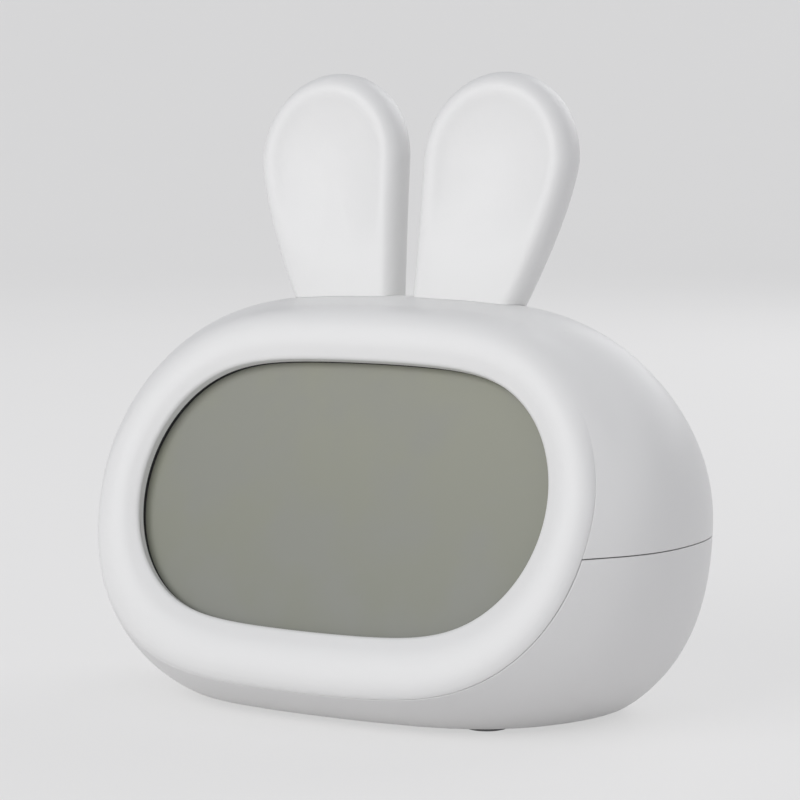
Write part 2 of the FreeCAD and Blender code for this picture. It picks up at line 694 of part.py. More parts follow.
def make_display_frame():
    grow = FRAME_WALL + CLEARANCE
    tray = octagon(GLASS_HALF_WIDTH + grow, GLASS_TOP + grow, GLASS_BOTTOM + grow, GLASS_CORNER,
                   FRAME_REAR, -FRONT_PLATE - CLEARANCE)
    pocket = octagon(GLASS_HALF_WIDTH + CLEARANCE, GLASS_TOP + CLEARANCE, GLASS_BOTTOM + CLEARANCE,
                     GLASS_CORNER, FRAME_INSIDE, FAR)
    opening = octagon(GLASS_HALF_WIDTH - 3 * FRAME_RIM, GLASS_TOP - 3 * FRAME_RIM,
                      GLASS_BOTTOM - 4 * FRAME_RIM, GLASS_CORNER - FRAME_RIM, -FAR, FAR)
    slot_low = -GLASS_BOTTOM + 0.2
    zebra = box((-ZEBRA_HALF - 0.3, slot_low, -FAR),
                (ZEBRA_HALF + 0.3, slot_low + ZEBRA_WIDTH + 0.4, GLASS_BACK))
    pieces = [tray]
    for u, v in frame_screw_places():
        reach = BOSS_RADIUS + 0.2
        inward = v - (1 if v > 0 else -1) * (BOSS_RADIUS + CLEARANCE + 2.0)
        pieces.append(Part.makeCylinder(reach, FRAME_BACK, point(u, v, FRAME_REAR)))
        pieces.append(box((u - reach, min(v, inward), FRAME_REAR),
                          (u + reach, max(v, inward), FRAME_INSIDE)))
    for u, v in board_screw_places():
        pieces.append(Part.makeCylinder(2.6, BOARD_GAP + 0.5, point(u, v, BOARD_FRONT)))
    frame = fuse(pieces).cut(pocket).cut(opening).cut(zebra)
    for u, v in frame_screw_places():
        frame = frame.cut(Part.makeCylinder(SMALL_SCREW_RADIUS + 0.2, 6, point(u, v, FRAME_REAR - 1)))
    for u, v in board_screw_places():
        frame = frame.cut(Part.makeCylinder(SMALL_SCREW_RADIUS, BOARD_GAP + 0.4, point(u, v, BOARD_FRONT)))
    return on_face(frame)


def board_screw_places():
    return [(side * (BOARD_HALF_WIDTH + 4.0), v) for side in (-1, 1) for v in (-14.0, 14.0)]


def make_main_board():
    half = BOARD_HALF_WIDTH + BOARD_MARGIN
    board = box((-half, -GLASS_BOTTOM + 0.2, BOARD_REAR), (half, BOARD_HALF_HEIGHT, BOARD_FRONT))
    for side in (-1, 1):
        corner = Part.makeBox(BOARD_CUT, BOARD_CUT, FAR)
        corner.translate(point(-BOARD_CUT / 2, -BOARD_CUT / 2, -FAR / 2))
        corner = corner.rotated(point(0, 0, 0), point(0, 0, 1), 45)
        corner.translate(point(side * half, -GLASS_BOTTOM, 0))
        board = board.cut(corner)
    for u, v in board_screw_places():
        board = board.cut(Part.makeCylinder(SMALL_SCREW_RADIUS + 0.2, FAR, point(u, v, -FAR / 2)))
    return on_face(board)


def make_board_parts():
    rear = BOARD_REAR
    chip = Part.makeCylinder(6.0, 1.6, point(0, -8, rear), point(0, 0, -1))
    dome = chip.makeFillet(1.2, [edge for edge in chip.Edges if edge.CenterOfMass.z < rear - 1.0])
    save("clock_chip", on_face(dome))
    crystal = Part.makeCylinder(1.5, 6.0, point(14, -11, rear - 1.5), point(0, 1, 0))
    save("quartz_crystal", on_face(crystal))
    cans = []
    for u in (-22.0, -15.0):
        cans.append(on_face(Part.makeCylinder(2.5, 5.0, point(u, -6, rear), point(0, 0, -1))))
    save("capacitors", Part.makeCompound(cans))
    sockets = []
    for u in CONNECTOR_PLACES:
        low = point(u - 4, CONNECTOR_UP - 2.5, rear - CONNECTOR_DEPTH)
        sockets.append(on_face(box(low, (u + 4, CONNECTOR_UP + 2.5, rear))))
    save("board_connectors", Part.makeCompound(sockets))
    strip_low = -GLASS_BOTTOM + 0.4
    zebra = box((-ZEBRA_HALF, strip_low, BOARD_FRONT), (ZEBRA_HALF, strip_low + ZEBRA_WIDTH, GLASS_MIDDLE))
    save("zebra_strip", on_face(zebra))


def face_screws(places, depth, length):
    """Small screws driven towards the face from behind."""
    screws = []
    for u, v in places:
        screws.append(pan_screw(SMALL_SCREW_RADIUS, length, SMALL_HEAD_RADIUS, SMALL_HEAD,
                                face_point(u, v, depth), FACE_OUT))
    return Part.makeCompound(screws)


def rounded_front(solid, radius):
    """Rounds the outside edge of a key, the one that fingers meet."""
    outside = [edge for edge in solid.Edges if edge.BoundBox.YMin > BACK + KEY_PROUD - 0.01]
    return solid.makeFillet(radius, outside)


def make_key(x, z):
    """A round key: a cap, and a flange inside the wall that holds it in."""
    cap = rounded_front(along_y(x, z, KEY_RADIUS, KEY_FLANGE_FRONT - 0.2, BACK + KEY_PROUD), 0.7)
    return fuse([cap, along_y(x, z, KEY_RADIUS + FLANGE_OUT, KEY_FLANGE_REAR, KEY_FLANGE_FRONT)])


def make_snooze_bar():
    cap = stadium(0, SNOOZE_ROW, SNOOZE_HALF_WIDTH, SNOOZE_HALF_HEIGHT, KEY_FLANGE_FRONT - 0.2,
                  BACK + KEY_PROUD)
    flange = stadium(0, SNOOZE_ROW, SNOOZE_HALF_WIDTH + SNOOZE_FLANGE_OUT,
                     SNOOZE_HALF_HEIGHT + SNOOZE_FLANGE_OUT, KEY_FLANGE_REAR, KEY_FLANGE_FRONT)
    return fuse([rounded_front(cap, 0.8), flange])


def around_switch(across, up, start, end):
    """A block centred on the alarm switch."""
    return box((SWITCH_X - across, start, KEY_ROW - up), (SWITCH_X + across, end, KEY_ROW + up))


def make_tact_switch(x, z):
    body = box((x - 3, KEY_BOARD_BACK, z - 3), (x + 3, STEM_TOP - TACT_STEM, z + 3))
    stem = along_y(x, z, 1.7, STEM_TOP - TACT_STEM - 0.1, STEM_TOP)
    return fuse([body, stem])


def make_slide_switch():
    return around_switch(4.5, 2.2, KEY_BOARD_BACK, SLIDE_TOP)


def make_switch_knob():
    half = SWITCH_SIZE / 2
    grip = rounded_front(around_switch(half, half, KEY_FLANGE_REAR, BACK + KEY_PROUD), 0.5)
    flange = around_switch(half + SWITCH_TRAVEL + 1.0, half + 1.2, KEY_FLANGE_REAR, KEY_FLANGE_FRONT)
    stem = around_switch(1.0, 1.0, SLIDE_TOP + CLEARANCE, KEY_FLANGE_REAR)
    return fuse([grip, flange, stem])


def make_key_board():
    low = KEY_ROW - KEY_BOARD_BELOW_KEYS
    board = box((-KEY_BOARD_HALF_WIDTH, KEY_BOARD_FRONT, low),
                (KEY_BOARD_HALF_WIDTH, KEY_BOARD_BACK, low + KEY_BOARD_HEIGHT))
    for x, z in key_board_post_places():
        board = board.cut(along_y(x, z, SMALL_SCREW_RADIUS + 0.2, KEY_BOARD_FRONT - 1, KEY_BOARD_BACK + 1))
    return board


def make_speaker():
    seat = BACK_INSIDE - SPEAKER_SEAT
    basket = along_y(SPEAKER_X, SPEAKER_Z, SPEAKER_RADIUS, seat - 1.5, seat)
    cup = along_y(SPEAKER_X, SPEAKER_Z, SPEAKER_RADIUS - 2.0, seat - SPEAKER_DEPTH, seat - 1.4)
    hollow = along_y(SPEAKER_X, SPEAKER_Z, SPEAKER_RADIUS - 2.8, seat - SPEAKER_DEPTH + 0.8, seat + 1)
    save("speaker_basket", fuse([basket, cup]).cut(hollow))
    magnet = along_y(SPEAKER_X, SPEAKER_Z, 4.0, seat - SPEAKER_DEPTH - 2.0, seat - SPEAKER_DEPTH)
    save("speaker_magnet", magnet)
    cone = Part.makeCone(2.2, SPEAKER_RADIUS - 2.8, 2.6, point(SPEAKER_X, seat - 2.8, SPEAKER_Z),
                         point(0, 1, 0))
    inner = Part.makeCone(1.7, SPEAKER_RADIUS - 3.3, 2.6, point(SPEAKER_X, seat - 2.3, SPEAKER_Z),
                          point(0, 1, 0))
    save("speaker_cone", cone.cut(inner))


def make_cells():
    cells = []
    springs = []
    contacts = []
    contact = 0.5
    nub = 1.0
    for index in range(CELLS):
        y, z = cell_axis(index)
        turn = 1 if index % 2 == 0 else -1
        start = point(turn * (BAY_HALF - contact - nub), y, z)
        away = point(-turn, 0, 0)
        can = Part.makeCylinder(CELL_RADIUS, CELL_LENGTH - nub, start, away)
        button = Part.makeCylinder(1.9, nub, start, away * -1)
        cells.append(fuse([can, button]))
        plate = turn * (BAY_HALF - contact)
        low = min(plate, turn * BAY_HALF)
        contacts.append(box((low, y - 4, z - 4), (low + contact, y + 4, z + 4)))
        spring_end = -turn * (BAY_HALF - contact)
        low = min(spring_end, -turn * BAY_HALF)
        contacts.append(box((low, y - 4, z - 4), (low + contact, y + 4, z + 4)))
        cell_end = turn * (BAY_HALF - contact - nub - CELL_LENGTH + nub)
        gap = abs(spring_end - cell_end)
        outer = Part.makeCone(3.6, 2.4, gap, point(spring_end, y, z), point(turn, 0, 0))
        inner = Part.makeCone(2.8, 1.6, gap, point(spring_end, y, z), point(turn, 0, 0))
        springs.append(outer.cut(inner))
    save("battery_cells", Part.makeCompound(cells))
    save("battery_springs", Part.makeCompound(springs))
    save("battery_contacts", Part.makeCompound(contacts))


def make_wire(across, end, arrival, lift=0.0):
    """A wire from a connector to its end, which it reaches along the arrival direction."""
    rear = BOARD_REAR - CONNECTOR_DEPTH
    start = face_point(across, CONNECTOR_UP, rear)
    leaving = face_point(across, CONNECTOR_UP, rear - 4.0)
    before = end - arrival * 3.6
    bend = end - arrival * 8.0 + point(0, 0, lift)
    curve = Part.BSplineCurve()
    curve.interpolate([start, leaving, bend, before, end])
    ring = Part.Wire([Part.makeCircle(WIRE_RADIUS, start, curve.tangent(curve.FirstParameter)[0])])
    return Part.Wire([curve.toShape()]).makePipeShell([ring], True, False)


def make_wires():
    left, middle, right = CONNECTOR_PLACES
    pair = (-WIRE_PAIR, WIRE_PAIR)
    to_cells = []
    for index, step in zip((1, 0), pair):
        y, z = cell_axis(index)
        to_cells.append(make_wire(left + step, point(-BAY_HALF, y, z), point(1, 0, 0)))
    save("battery_wires", Part.makeCompound(to_cells))
    rim = SPEAKER_RADIUS - 1.0
    rear = BACK_INSIDE - SPEAKER_SEAT - 1.5
    ends = (point(SPEAKER_X, rear, SPEAKER_Z + rim), point(SPEAKER_X - rim, rear, SPEAKER_Z))
    to_speaker = [make_wire(right + step, end, point(0, 1, 0), 3.0) for step, end in zip(pair, ends)]
    save("speaker_wires", Part.makeCompound(to_speaker))
    to_keys = []
    for step in range(KEY_WIRES):
        x = middle + (step - (KEY_WIRES - 1) / 2) * WIRE_PAIR
        to_keys.append(make_wire(x, point(x, KEY_BOARD_FRONT, KEY_ROW), point(0, 1, 0), -2.0))
    save("key_wires", Part.makeCompound(to_keys))


def make_door(outer):
    plate = box((-DOOR_HALF, BACK_INSIDE, DOOR_BOTTOM), (DOOR_HALF, BACK, DOOR_TOP))
    tabs = []
    for x in TAB_PLACES:
        tabs.append(box((x - DOOR_TAB / 2, BACK_INSIDE - 1.4, DOOR_BOTTOM - TAB_DROP),
                        (x + DOOR_TAB / 2, BACK_INSIDE - CLEARANCE, DOOR_BOTTOM + 1.4)))
        tabs.append(box((x - DOOR_TAB / 2, BACK_INSIDE - 1.4, DOOR_BOTTOM),
                        (x + DOOR_TAB / 2, BACK_INSIDE + 0.4, DOOR_BOTTOM + 1.4)))
    latch = box((-5.0, BACK_INSIDE - 1, DOOR_TOP - 5.0), (-4.4, BACK + 1, DOOR_TOP + 1))
    other = latch.mirror(point(0, 0, 0), point(1, 0, 0))
    scoop = Part.makeSphere(9.0, point(0, BACK + 8.0, DOOR_TOP - 1.0))
    return fuse([plate.common(outer)] + tabs).cut([latch, other, scoop])


def make_case_screws():
    screws = []
    length = SEAM_HEIGHT - CASE_HEAD_SEAT + CASE_SCREW_BITE
    for x, y in case_post_places():
        screws.append(pan_screw(SCREW_RADIUS, length, SCREW_HEAD_RADIUS, SCREW_HEAD,
                                point(x, y, CASE_HEAD_SEAT), point(0, 0, 1)))
    return Part.makeCompound(screws)


def main():
    os.makedirs("parts", exist_ok=True)
    outer = body_solid(0)
    inner = body_solid(WALL)
    save("upper_shell", make_upper_shell(outer, inner))
    save("lower_shell", make_lower_shell(outer, inner))
    make_ears()
    save("ear_screws", make_ear_screws(inner))
    make_display()
    make_backlight()
    save("display_frame", make_display_frame())
    save("display_frame_screws", face_screws(frame_screw_places(), FRAME_REAR, 6.5))
    save("main_board", make_main_board())
    save("main_board_screws", face_screws(board_screw_places(), BOARD_REAR, 4.5))
    make_board_parts()
    save("key_board", make_key_board())
    board_screws = []
    for x, z in key_board_post_places():
        board_screws.append(pan_screw(SMALL_SCREW_RADIUS, 4.5, SMALL_HEAD_RADIUS, SMALL_HEAD,
                                      point(x, KEY_BOARD_FRONT, z), point(0, 1, 0)))
    save("key_board_screws", Part.makeCompound(board_screws))
    switches = [make_tact_switch(x, KEY_ROW) for x in KEY_PLACES] + [make_tact_switch(0, SNOOZE_ROW)]
    save("tact_switches", Part.makeCompound(switches))
    save("slide_switch", make_slide_switch())
    save("alarm_switch_knob", make_switch_knob())
    for name, x in zip(("mode_button", "set_button", "up_button", "down_button"), KEY_PLACES):
        save(name, make_key(x, KEY_ROW))
    save("snooze_light_button", make_snooze_bar())
    make_speaker()
    make_cells()
    make_wires()
    save("battery_door", make_door(outer))
    save("case_screws", make_case_screws())
    save("rubber_feet", Part.makeCompound(feet(0, FOOT_HEIGHT + FOOT_RECESS, FOOT_RADIUS)))


main()
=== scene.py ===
# %% [markdown]
# # A kids alarm clock with a night light
# The clock is a rounded white shell that leans its display back inside a fat rim, with two tall
# hollow ears on top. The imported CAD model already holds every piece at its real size, so this
# lesson only makes its looks: finer skins for the shells and ears, softened edges, and a finish
# for each surface. It starts by loading that model as a fixed frame.

# %% Load the frame
import bpy
import bmesh
import json
import numpy as np
from math import sin, cos, pi, radians
from mathutils import Matrix, Vector

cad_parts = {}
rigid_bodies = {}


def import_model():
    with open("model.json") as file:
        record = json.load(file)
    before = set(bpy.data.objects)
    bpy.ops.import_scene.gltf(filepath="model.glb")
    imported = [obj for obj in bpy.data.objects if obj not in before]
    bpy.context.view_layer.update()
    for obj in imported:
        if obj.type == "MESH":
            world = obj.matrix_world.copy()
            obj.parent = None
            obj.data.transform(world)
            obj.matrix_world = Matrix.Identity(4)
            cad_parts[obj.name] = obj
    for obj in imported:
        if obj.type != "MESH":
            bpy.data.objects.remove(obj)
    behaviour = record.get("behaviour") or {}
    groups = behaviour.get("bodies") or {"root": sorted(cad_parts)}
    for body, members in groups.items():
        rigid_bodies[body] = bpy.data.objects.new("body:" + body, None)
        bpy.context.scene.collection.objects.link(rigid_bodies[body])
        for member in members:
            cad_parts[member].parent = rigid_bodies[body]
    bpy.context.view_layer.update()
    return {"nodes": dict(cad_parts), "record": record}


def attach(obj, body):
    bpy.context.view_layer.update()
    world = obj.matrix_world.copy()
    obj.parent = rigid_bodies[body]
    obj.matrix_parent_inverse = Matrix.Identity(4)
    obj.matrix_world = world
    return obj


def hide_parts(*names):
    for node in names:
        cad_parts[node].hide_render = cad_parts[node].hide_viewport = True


for thing in list(bpy.data.objects):
    bpy.data.objects.remove(thing)
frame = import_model()

# %% [markdown]
# ## Working in millimetres
# The shapes below are thought of in millimetres, as a mould maker would, and Blender's scene is in
# metres. One constant turns one into the other at the moment that a mesh is made. A scaled object
# could carry it instead, but each piece's place has to be in its own mesh.

# %% Units and small mesh helpers
MM = 0.001
FAR = 300.0


def add_object(name, mesh):
    piece = bpy.data.objects.new(name, mesh)
    bpy.context.scene.collection.objects.link(piece)
    return piece


def mesh_object(name, points, faces):
    """A new object from points in millimetres."""
    mesh = bpy.data.meshes.new(name)
    mesh.from_pydata([tuple(p) for p in np.asarray(points, dtype=float) * MM], [], faces)
    return add_object(name, mesh)


def tidy(piece, merge=1e-7):
    """Merges doubled points and turns all faces outwards."""
    bm = bmesh.new()
    bm.from_mesh(piece.data)
    bmesh.ops.remove_doubles(bm, verts=bm.verts, dist=merge)
    bmesh.ops.dissolve_degenerate(bm, edges=bm.edges, dist=merge / 10)
    bmesh.ops.recalc_face_normals(bm, faces=bm.faces)
    bm.to_mesh(piece.data)
    bm.free()
    return piece


def bake(piece):
    """Turns an object's modifiers into a plain mesh."""
    graph = bpy.context.evaluated_depsgraph_get()
    graph.update()
    mesh = bpy.data.meshes.new_from_object(piece.evaluated_get(graph))
    piece.modifiers.clear()
    piece.data = mesh
    return piece


def remove(*pieces):
    for piece in pieces:
        bpy.data.objects.remove(piece)


# %% [markdown]
# ## Joining and cutting solids
# A moulded shell is one solid with walls, posts and openings. It could be drawn face by face, but
# Boolean modifiers are closer to how it is designed: a block less its inside, plus its posts, less
# its holes. The Manifold solver is quick and exact on closed meshes, and its results stay closed.

# %% Solid helpers
def combine(target, tools, operation):
    """Joins to, cuts from or intersects the target with each tool, and removes the tools."""
    for tool in tools:
        step = target.modifiers.new("step", "BOOLEAN")
        step.object = tool
        step.operation = operation
        step.solver = "MANIFOLD"
    bake(target)
    remove(*tools)
    return target


def cut(target, *tools):
    return combine(target, tools, "DIFFERENCE")


def join(target, *tools):
    return combine(target, tools, "UNION")


def keep(target, tool):
    return combine(target, [tool], "INTERSECT")


def copy_of(piece, name="copy"):
    return add_object(name, piece.data.copy())


# %% Simple solids
def grid_solid(name, rows, loop=False):
    """A closed skin over rings of points. With loop, the last ring meets the first."""
    rows = np.asarray(rows, dtype=float)
    count, around = rows.shape[:2]
    faces = []
    for row in range(count if loop else count - 1):
        after = (row + 1) % count
        for step in range(around):
            beside = (step + 1) % around
            faces.append((row * around + step, row * around + beside,
                          after * around + beside, after * around + step))
    return tidy(mesh_object(name, rows.reshape(-1, 3), faces))


def box(low, high):
    points = [((low, high)[i][0], (low, high)[j][1], (low, high)[k][2])
              for i in (0, 1) for j in (0, 1) for k in (0, 1)]
    faces = [(0, 1, 3, 2), (4, 6, 7, 5), (0, 4, 5, 1), (2, 3, 7, 6), (0, 2, 6, 4), (1, 5, 7, 3)]
    return tidy(mesh_object("box", points, faces))


def prism(corners, low, high):
    """A polygon in the YZ plane, carried along X."""
    count = len(corners)
    points = [(x, y, z) for x in (low, high) for y, z in corners]
    sides = [(i, (i + 1) % count, count + (i + 1) % count, count + i) for i in range(count)]
    ends = [tuple(range(count)), tuple(range(count, 2 * count))]
    return tidy(mesh_object("prism", points, sides + ends))


def lathe(place, axis, profile, around=48):
    """A turned solid: profile is (reach along the axis, radius), from the axis back to the axis."""
    along = Vector(axis).normalized()
    side = along.orthogonal().normalized()
    other = along.cross(side)
    turns = [2 * pi * step / around for step in range(around)]
    rows = []
    for reach, radius in profile:
        middle = Vector(place) + along * reach
        rows.append([middle + side * (radius * cos(a)) + other * (radius * sin(a)) for a in turns])
    return grid_solid("lathe", rows)


def cylinder(place, axis, radius, length, around=48):
    return lathe(place, axis, [(0, 0), (0, radius), (length, radius), (length, 0)], around)


def smooth(piece, degrees=32):
    """Smooth shading that keeps edges sharper than the angle crisp."""
    for face in piece.data.polygons:
        face.use_smooth = True
    piece.data.set_sharp_from_angle(angle=radians(degrees))
    return piece


# %% [markdown]
# ## Values inside a node tree
# Geometry Nodes and materials are both trees of small sums. Written node by node, a formula takes
# several lines for each sign. This small class lets a socket be added and multiplied as a number
# is, and lays down the Math nodes by itself.

# %% A socket that can be added and multiplied
def add_node(tree, kind, inputs=None, **settings):
    """A node with its settings and its inputs, which are numbers, sockets or values."""
    node = tree.nodes.new(kind)
    for key, value in settings.items():
        setattr(node, key, value)
    for key, value in (inputs or {}).items():
        value = value.socket if isinstance(value, Value) else value
        if isinstance(value, bpy.types.NodeSocket):
            tree.links.new(value, node.inputs[key])
        else:
            node.inputs[key].default_value = value
    return node


class Value:
    def __init__(self, tree, socket):
        self.tree = tree
        self.socket = socket

    def math(self, operation, *others):
        inputs = dict(enumerate((self,) + others))
        node = add_node(self.tree, "ShaderNodeMath", inputs, operation=operation)
        return Value(self.tree, node.outputs[0])

    def __add__(self, other):
        return self.math("ADD", other)

    def __sub__(self, other):
        return self.math("SUBTRACT", other)

    def __mul__(self, other):
        return self.math("MULTIPLY", other)

    def __truediv__(self, other):
        return self.math("DIVIDE", other)


# %% Building and running a geometry tree
def geometry_tree(name, inputs):
    """A tree with named inputs. Gives the tree, a way to read an input, and a way to end it."""
    tree = bpy.data.node_groups.new(name, "GeometryNodeTree")
    for label, kind in inputs:
        tree.interface.new_socket(label, in_out="INPUT", socket_type=kind)
    tree.interface.new_socket("Material", in_out="INPUT", socket_type="NodeSocketMaterial")
    tree.interface.new_socket("Mesh", in_out="OUTPUT", socket_type="NodeSocketGeometry")
    source = tree.nodes.new("NodeGroupInput")

    def read(label):
        return Value(tree, source.outputs[label])

    def end(geometry):
        plain = add_node(tree, "GeometryNodeRealizeInstances", {0: geometry})
        dressed = add_node(tree, "GeometryNodeSetMaterial",
                           {0: plain.outputs[0], "Material": read("Material")})
        out = tree.nodes.new("NodeGroupOutput")
        tree.links.new(dressed.outputs[0], out.inputs[0])
    return tree, read, end


def run_tree(tree, name, **values):
    """Runs a tree with these inputs and gives its result as an object with a plain mesh."""
    piece = add_object(name, bpy.data.meshes.new(name))
    modifier = piece.modifiers.new("nodes", "NODES")
    modifier.node_group = tree
    for item in tree.interface.items_tree:
        if item.in_out == "INPUT" and item.name in values:
            modifier[item.identifier] = values[item.name]
    return bake(piece)


# %% [markdown]
# ## The rule behind the shells
# The rim, the window and the round body all follow one rule: a stack of rings, each a circle
# pulled to its own width and height, squared a little, and leaning back by its own angle. In the
# real clock this is the surface that the two mould halves are cut to. It could be sculpted, or
# lofted from curves, but a rule in Geometry Nodes keeps each ring's numbers apart from the shape
# of a ring, so one small tree sweeps the outside, the inside and the hollow of the rim alike.

# %% The tree that sweeps rings
RING_VALUES = ("y", "z", "lean", "half_width", "top", "bottom", "square", "top_fill", "bottom_fill")
ROUNDING_MARGIN = 1e-4


def soften_value(value, edge):
    """A wave with its flanks pulled outwards, which makes a circle squarer."""
    length = (value * value + edge * edge).math("SQRT")
    return value * (edge * edge + 1.0).math("SQRT") / length


def make_sweep_tree():
    tree, read, end = geometry_tree("Sweep of rings", [
        ("Rings", "NodeSocketObject"), ("Ring Count", "NodeSocketInt"),
        ("Points Around", "NodeSocketInt"), ("Side Sharpness", "NodeSocketFloat"),
        ("Top Sharpness", "NodeSocketFloat")])
    seam = read("Points Around") + 1.0
    grid = add_node(tree, "GeometryNodeMeshGrid",
                    {"Vertices X": read("Ring Count"), "Vertices Y": seam})
    index = Value(tree, tree.nodes.new("GeometryNodeInputIndex").outputs[0])
    row = (index / seam + ROUNDING_MARGIN).math("FLOOR")
    angle = (index - row * seam) / read("Points Around") * (2 * pi)
    rings = add_node(tree, "GeometryNodeObjectInfo", {"Object": read("Rings")})
    of = {}
    for name in RING_VALUES:
        stored = add_node(tree, "GeometryNodeInputNamedAttribute", {"Name": name},
                          data_type="FLOAT")
        sample = add_node(tree, "GeometryNodeSampleIndex", {"Index": row},
                          data_type="FLOAT", domain="POINT")
        tree.links.new(rings.outputs["Geometry"], sample.inputs["Geometry"])
        tree.links.new(stored.outputs["Attribute"], sample.inputs["Value"])
        of[name] = Value(tree, sample.outputs["Value"])
    across = angle.math("COSINE")
    rise = angle.math("SINE")
    above = rise.math("GREATER_THAN", 0.0)
    height = of["bottom"] + (of["top"] - of["bottom"]) * above
    fill = of["bottom_fill"] + (of["top_fill"] - of["bottom_fill"]) * above
    squared = across + (soften_value(across, read("Side Sharpness")) - across) * of["square"]
    filled = rise + (soften_value(rise, read("Top Sharpness")) - rise) * fill
    up = filled * height
    x = squared * of["half_width"]
    y = of["y"] + up * of["lean"].math("SINE")
    z = of["z"] + up * of["lean"].math("COSINE")
    place = add_node(tree, "ShaderNodeCombineXYZ", {"X": x * MM, "Y": y * MM, "Z": z * MM})
    moved = add_node(tree, "GeometryNodeSetPosition",
                     {"Geometry": grid.outputs["Mesh"], "Position": place.outputs[0]})
    end(moved.outputs[0])
    return tree


SWEEP = make_sweep_tree()
AROUND = 256
SIDE_SHARPNESS = 0.25
TOP_SHARPNESS = 0.5


def sweep_points(rings):
    """The swept points as an array of rings, in millimetres."""
    holder = mesh_object("rings", np.zeros((len(rings), 3)), [])
    for name, column in zip(RING_VALUES, np.array(rings, dtype=float).T):
        holder.data.attributes.new(name, "FLOAT", "POINT").data.foreach_set("value", column)
    piece = run_tree(SWEEP, "sweep", Rings=holder, **{
        "Ring Count": len(rings), "Points Around": AROUND,
        "Side Sharpness": SIDE_SHARPNESS, "Top Sharpness": TOP_SHARPNESS})
    flat = np.empty(len(piece.data.vertices) * 3)
    piece.data.vertices.foreach_get("co", flat)
    remove(piece, holder)
    return flat.reshape(len(rings), AROUND + 1, 3)[:, :AROUND] / MM


# %% [markdown]
# ## The numbers of the body
# The display leans back by 21 degrees. Seven measured rings run from the lip, where the rim ends,
# to the flat back, and a natural spline passes smoothly through them, as a flexible lath does on
# a boat builder's floor. The rings in between are read from that spline, as finely as needed.

# %% Driving sizes of the body
FACE_TILT_DEGREES = 21.4
FACE_TILT = radians(FACE_TILT_DEGREES)
FACE_Y = -24.0
FACE_Z = 55.0
WINDOW_HALF_WIDTH = 57.0
WINDOW_HALF_HEIGHT = 34.0
WINDOW_SQUARE = 0.46
LIP_SQUARE = 0.378
LIP_TOP_FILL = -0.12
LIP_BOTTOM_FILL = 0.09
RIM_SIDE = 12.1
RIM_TOP = 12.6
RIM_BOTTOM = 14.9
RIM_HEIGHT = 2.8
FRONT_PLATE = 1.6
WALL = 2.2
SEAM_Z = 45.0
FOOT_HEIGHT = 1.0
HALF_WIDTH = 81.07
DEPTH = 67.5
BELLY_TOP = 51.7
BELLY_BOTTOM = 57.9
BACK = FACE_Y + DEPTH
INSIDE_BACK = BACK - WALL
LIP_HALF_WIDTH = WINDOW_HALF_WIDTH + RIM_SIDE
LIP_TOP = WINDOW_HALF_HEIGHT + RIM_TOP
LIP_BOTTOM = WINDOW_HALF_HEIGHT + RIM_BOTTOM

# Squareness, then the fills above and below
LIP_FORM = (LIP_SQUARE, LIP_TOP_FILL, LIP_BOTTOM_FILL)
SHOULDER_FORM = (0.36, -0.05, 0.09)
BODY_FORM = (0.34, 0.03, 0.22)
# Behind the lip: share of the depth, drop, lean, then how much less than the belly the ring's
# half width, top and bottom are, and its form
STATIONS = [
    (0.18, 2.0, 15.0, 3.4, 2.6, 2.6, SHOULDER_FORM),
    (0.445, 5.0, 7.0, 0.0, 0.0, 0.0, BODY_FORM),
    (0.70, 7.0, 1.5, 2.7, 5.0, 2.0, BODY_FORM),
    (0.87, 7.0, 0.0, 10.8, 13.0, 8.5, BODY_FORM),
    (0.965, 7.0, 0.0, 19.3, 20.0, 15.5, BODY_FORM),
    (1.0, 7.0, 0.0, 28.3, 27.0, 23.0, BODY_FORM)]


def body_table():
    """The measured rings: how far back, drop, lean, half width, top, bottom and form."""
    rows = [(0.0, 0.0, FACE_TILT_DEGREES, LIP_HALF_WIDTH, LIP_TOP, LIP_BOTTOM, *LIP_FORM)]
    for share, drop, lean, narrower, lower, higher, form in STATIONS:
        rows.append((share * DEPTH, drop, lean, HALF_WIDTH - narrower, BELLY_TOP - lower,
                     BELLY_BOTTOM - higher, *form))
    return np.array(rows)


BODY_RINGS = body_table()
print("measured rings of the body:", len(BODY_RINGS))

# %% A spline through measured values
def spline(knots, values, at):
    """A natural cubic spline through rows of values, read at any number of places."""
    knots = np.asarray(knots, dtype=float)
    values = np.asarray(values, dtype=float)
    gap = np.diff(knots)
    count = len(knots)
    matrix = np.eye(count)
    side = np.zeros_like(values)
    slope = np.diff(values, axis=0) / gap[:, None]
    for i in range(1, count - 1):
        matrix[i, i - 1:i + 2] = gap[i - 1], 2 * (gap[i - 1] + gap[i]), gap[i]
        side[i] = 6 * (slope[i] - slope[i - 1])
    bend = np.linalg.solve(matrix, side)
    at = np.atleast_1d(at)
    i = np.clip(np.searchsorted(knots, at) - 1, 0, count - 2)
    a = ((knots[i + 1] - at) / gap[i])[:, None]
    b = 1 - a
    curved = (a ** 3 - a) * bend[i] + (b ** 3 - b) * bend[i + 1]
    return a * values[i] + b * values[i + 1] + curved * gap[i][:, None] ** 2 / 6


def chords(points):
    """Distance along a row of points, from its first."""
    return np.concatenate([[0.0], np.cumsum(np.linalg.norm(np.diff(points, axis=0), axis=1))])


BODY_KNOTS = chords(BODY_RINGS[:, (0, 3, 4)])
BODY_LENGTH = BODY_KNOTS[-1]
print("body profile length, mm:", round(BODY_LENGTH, 1))


def body_rings(distances, inset=0.0):
    """Rings of the body at these distances back from the lip, set in by a wall."""
    rings = []
    for row in spline(BODY_KNOTS, BODY_RINGS, distances):
        back, drop, lean, half, top, bottom, *form = row
        y = FACE_Y + back * (1 - inset / DEPTH)
        rings.append((y, FACE_Z - drop, radians(lean),
                      half - inset, top - inset, bottom - inset, *form))
    return rings


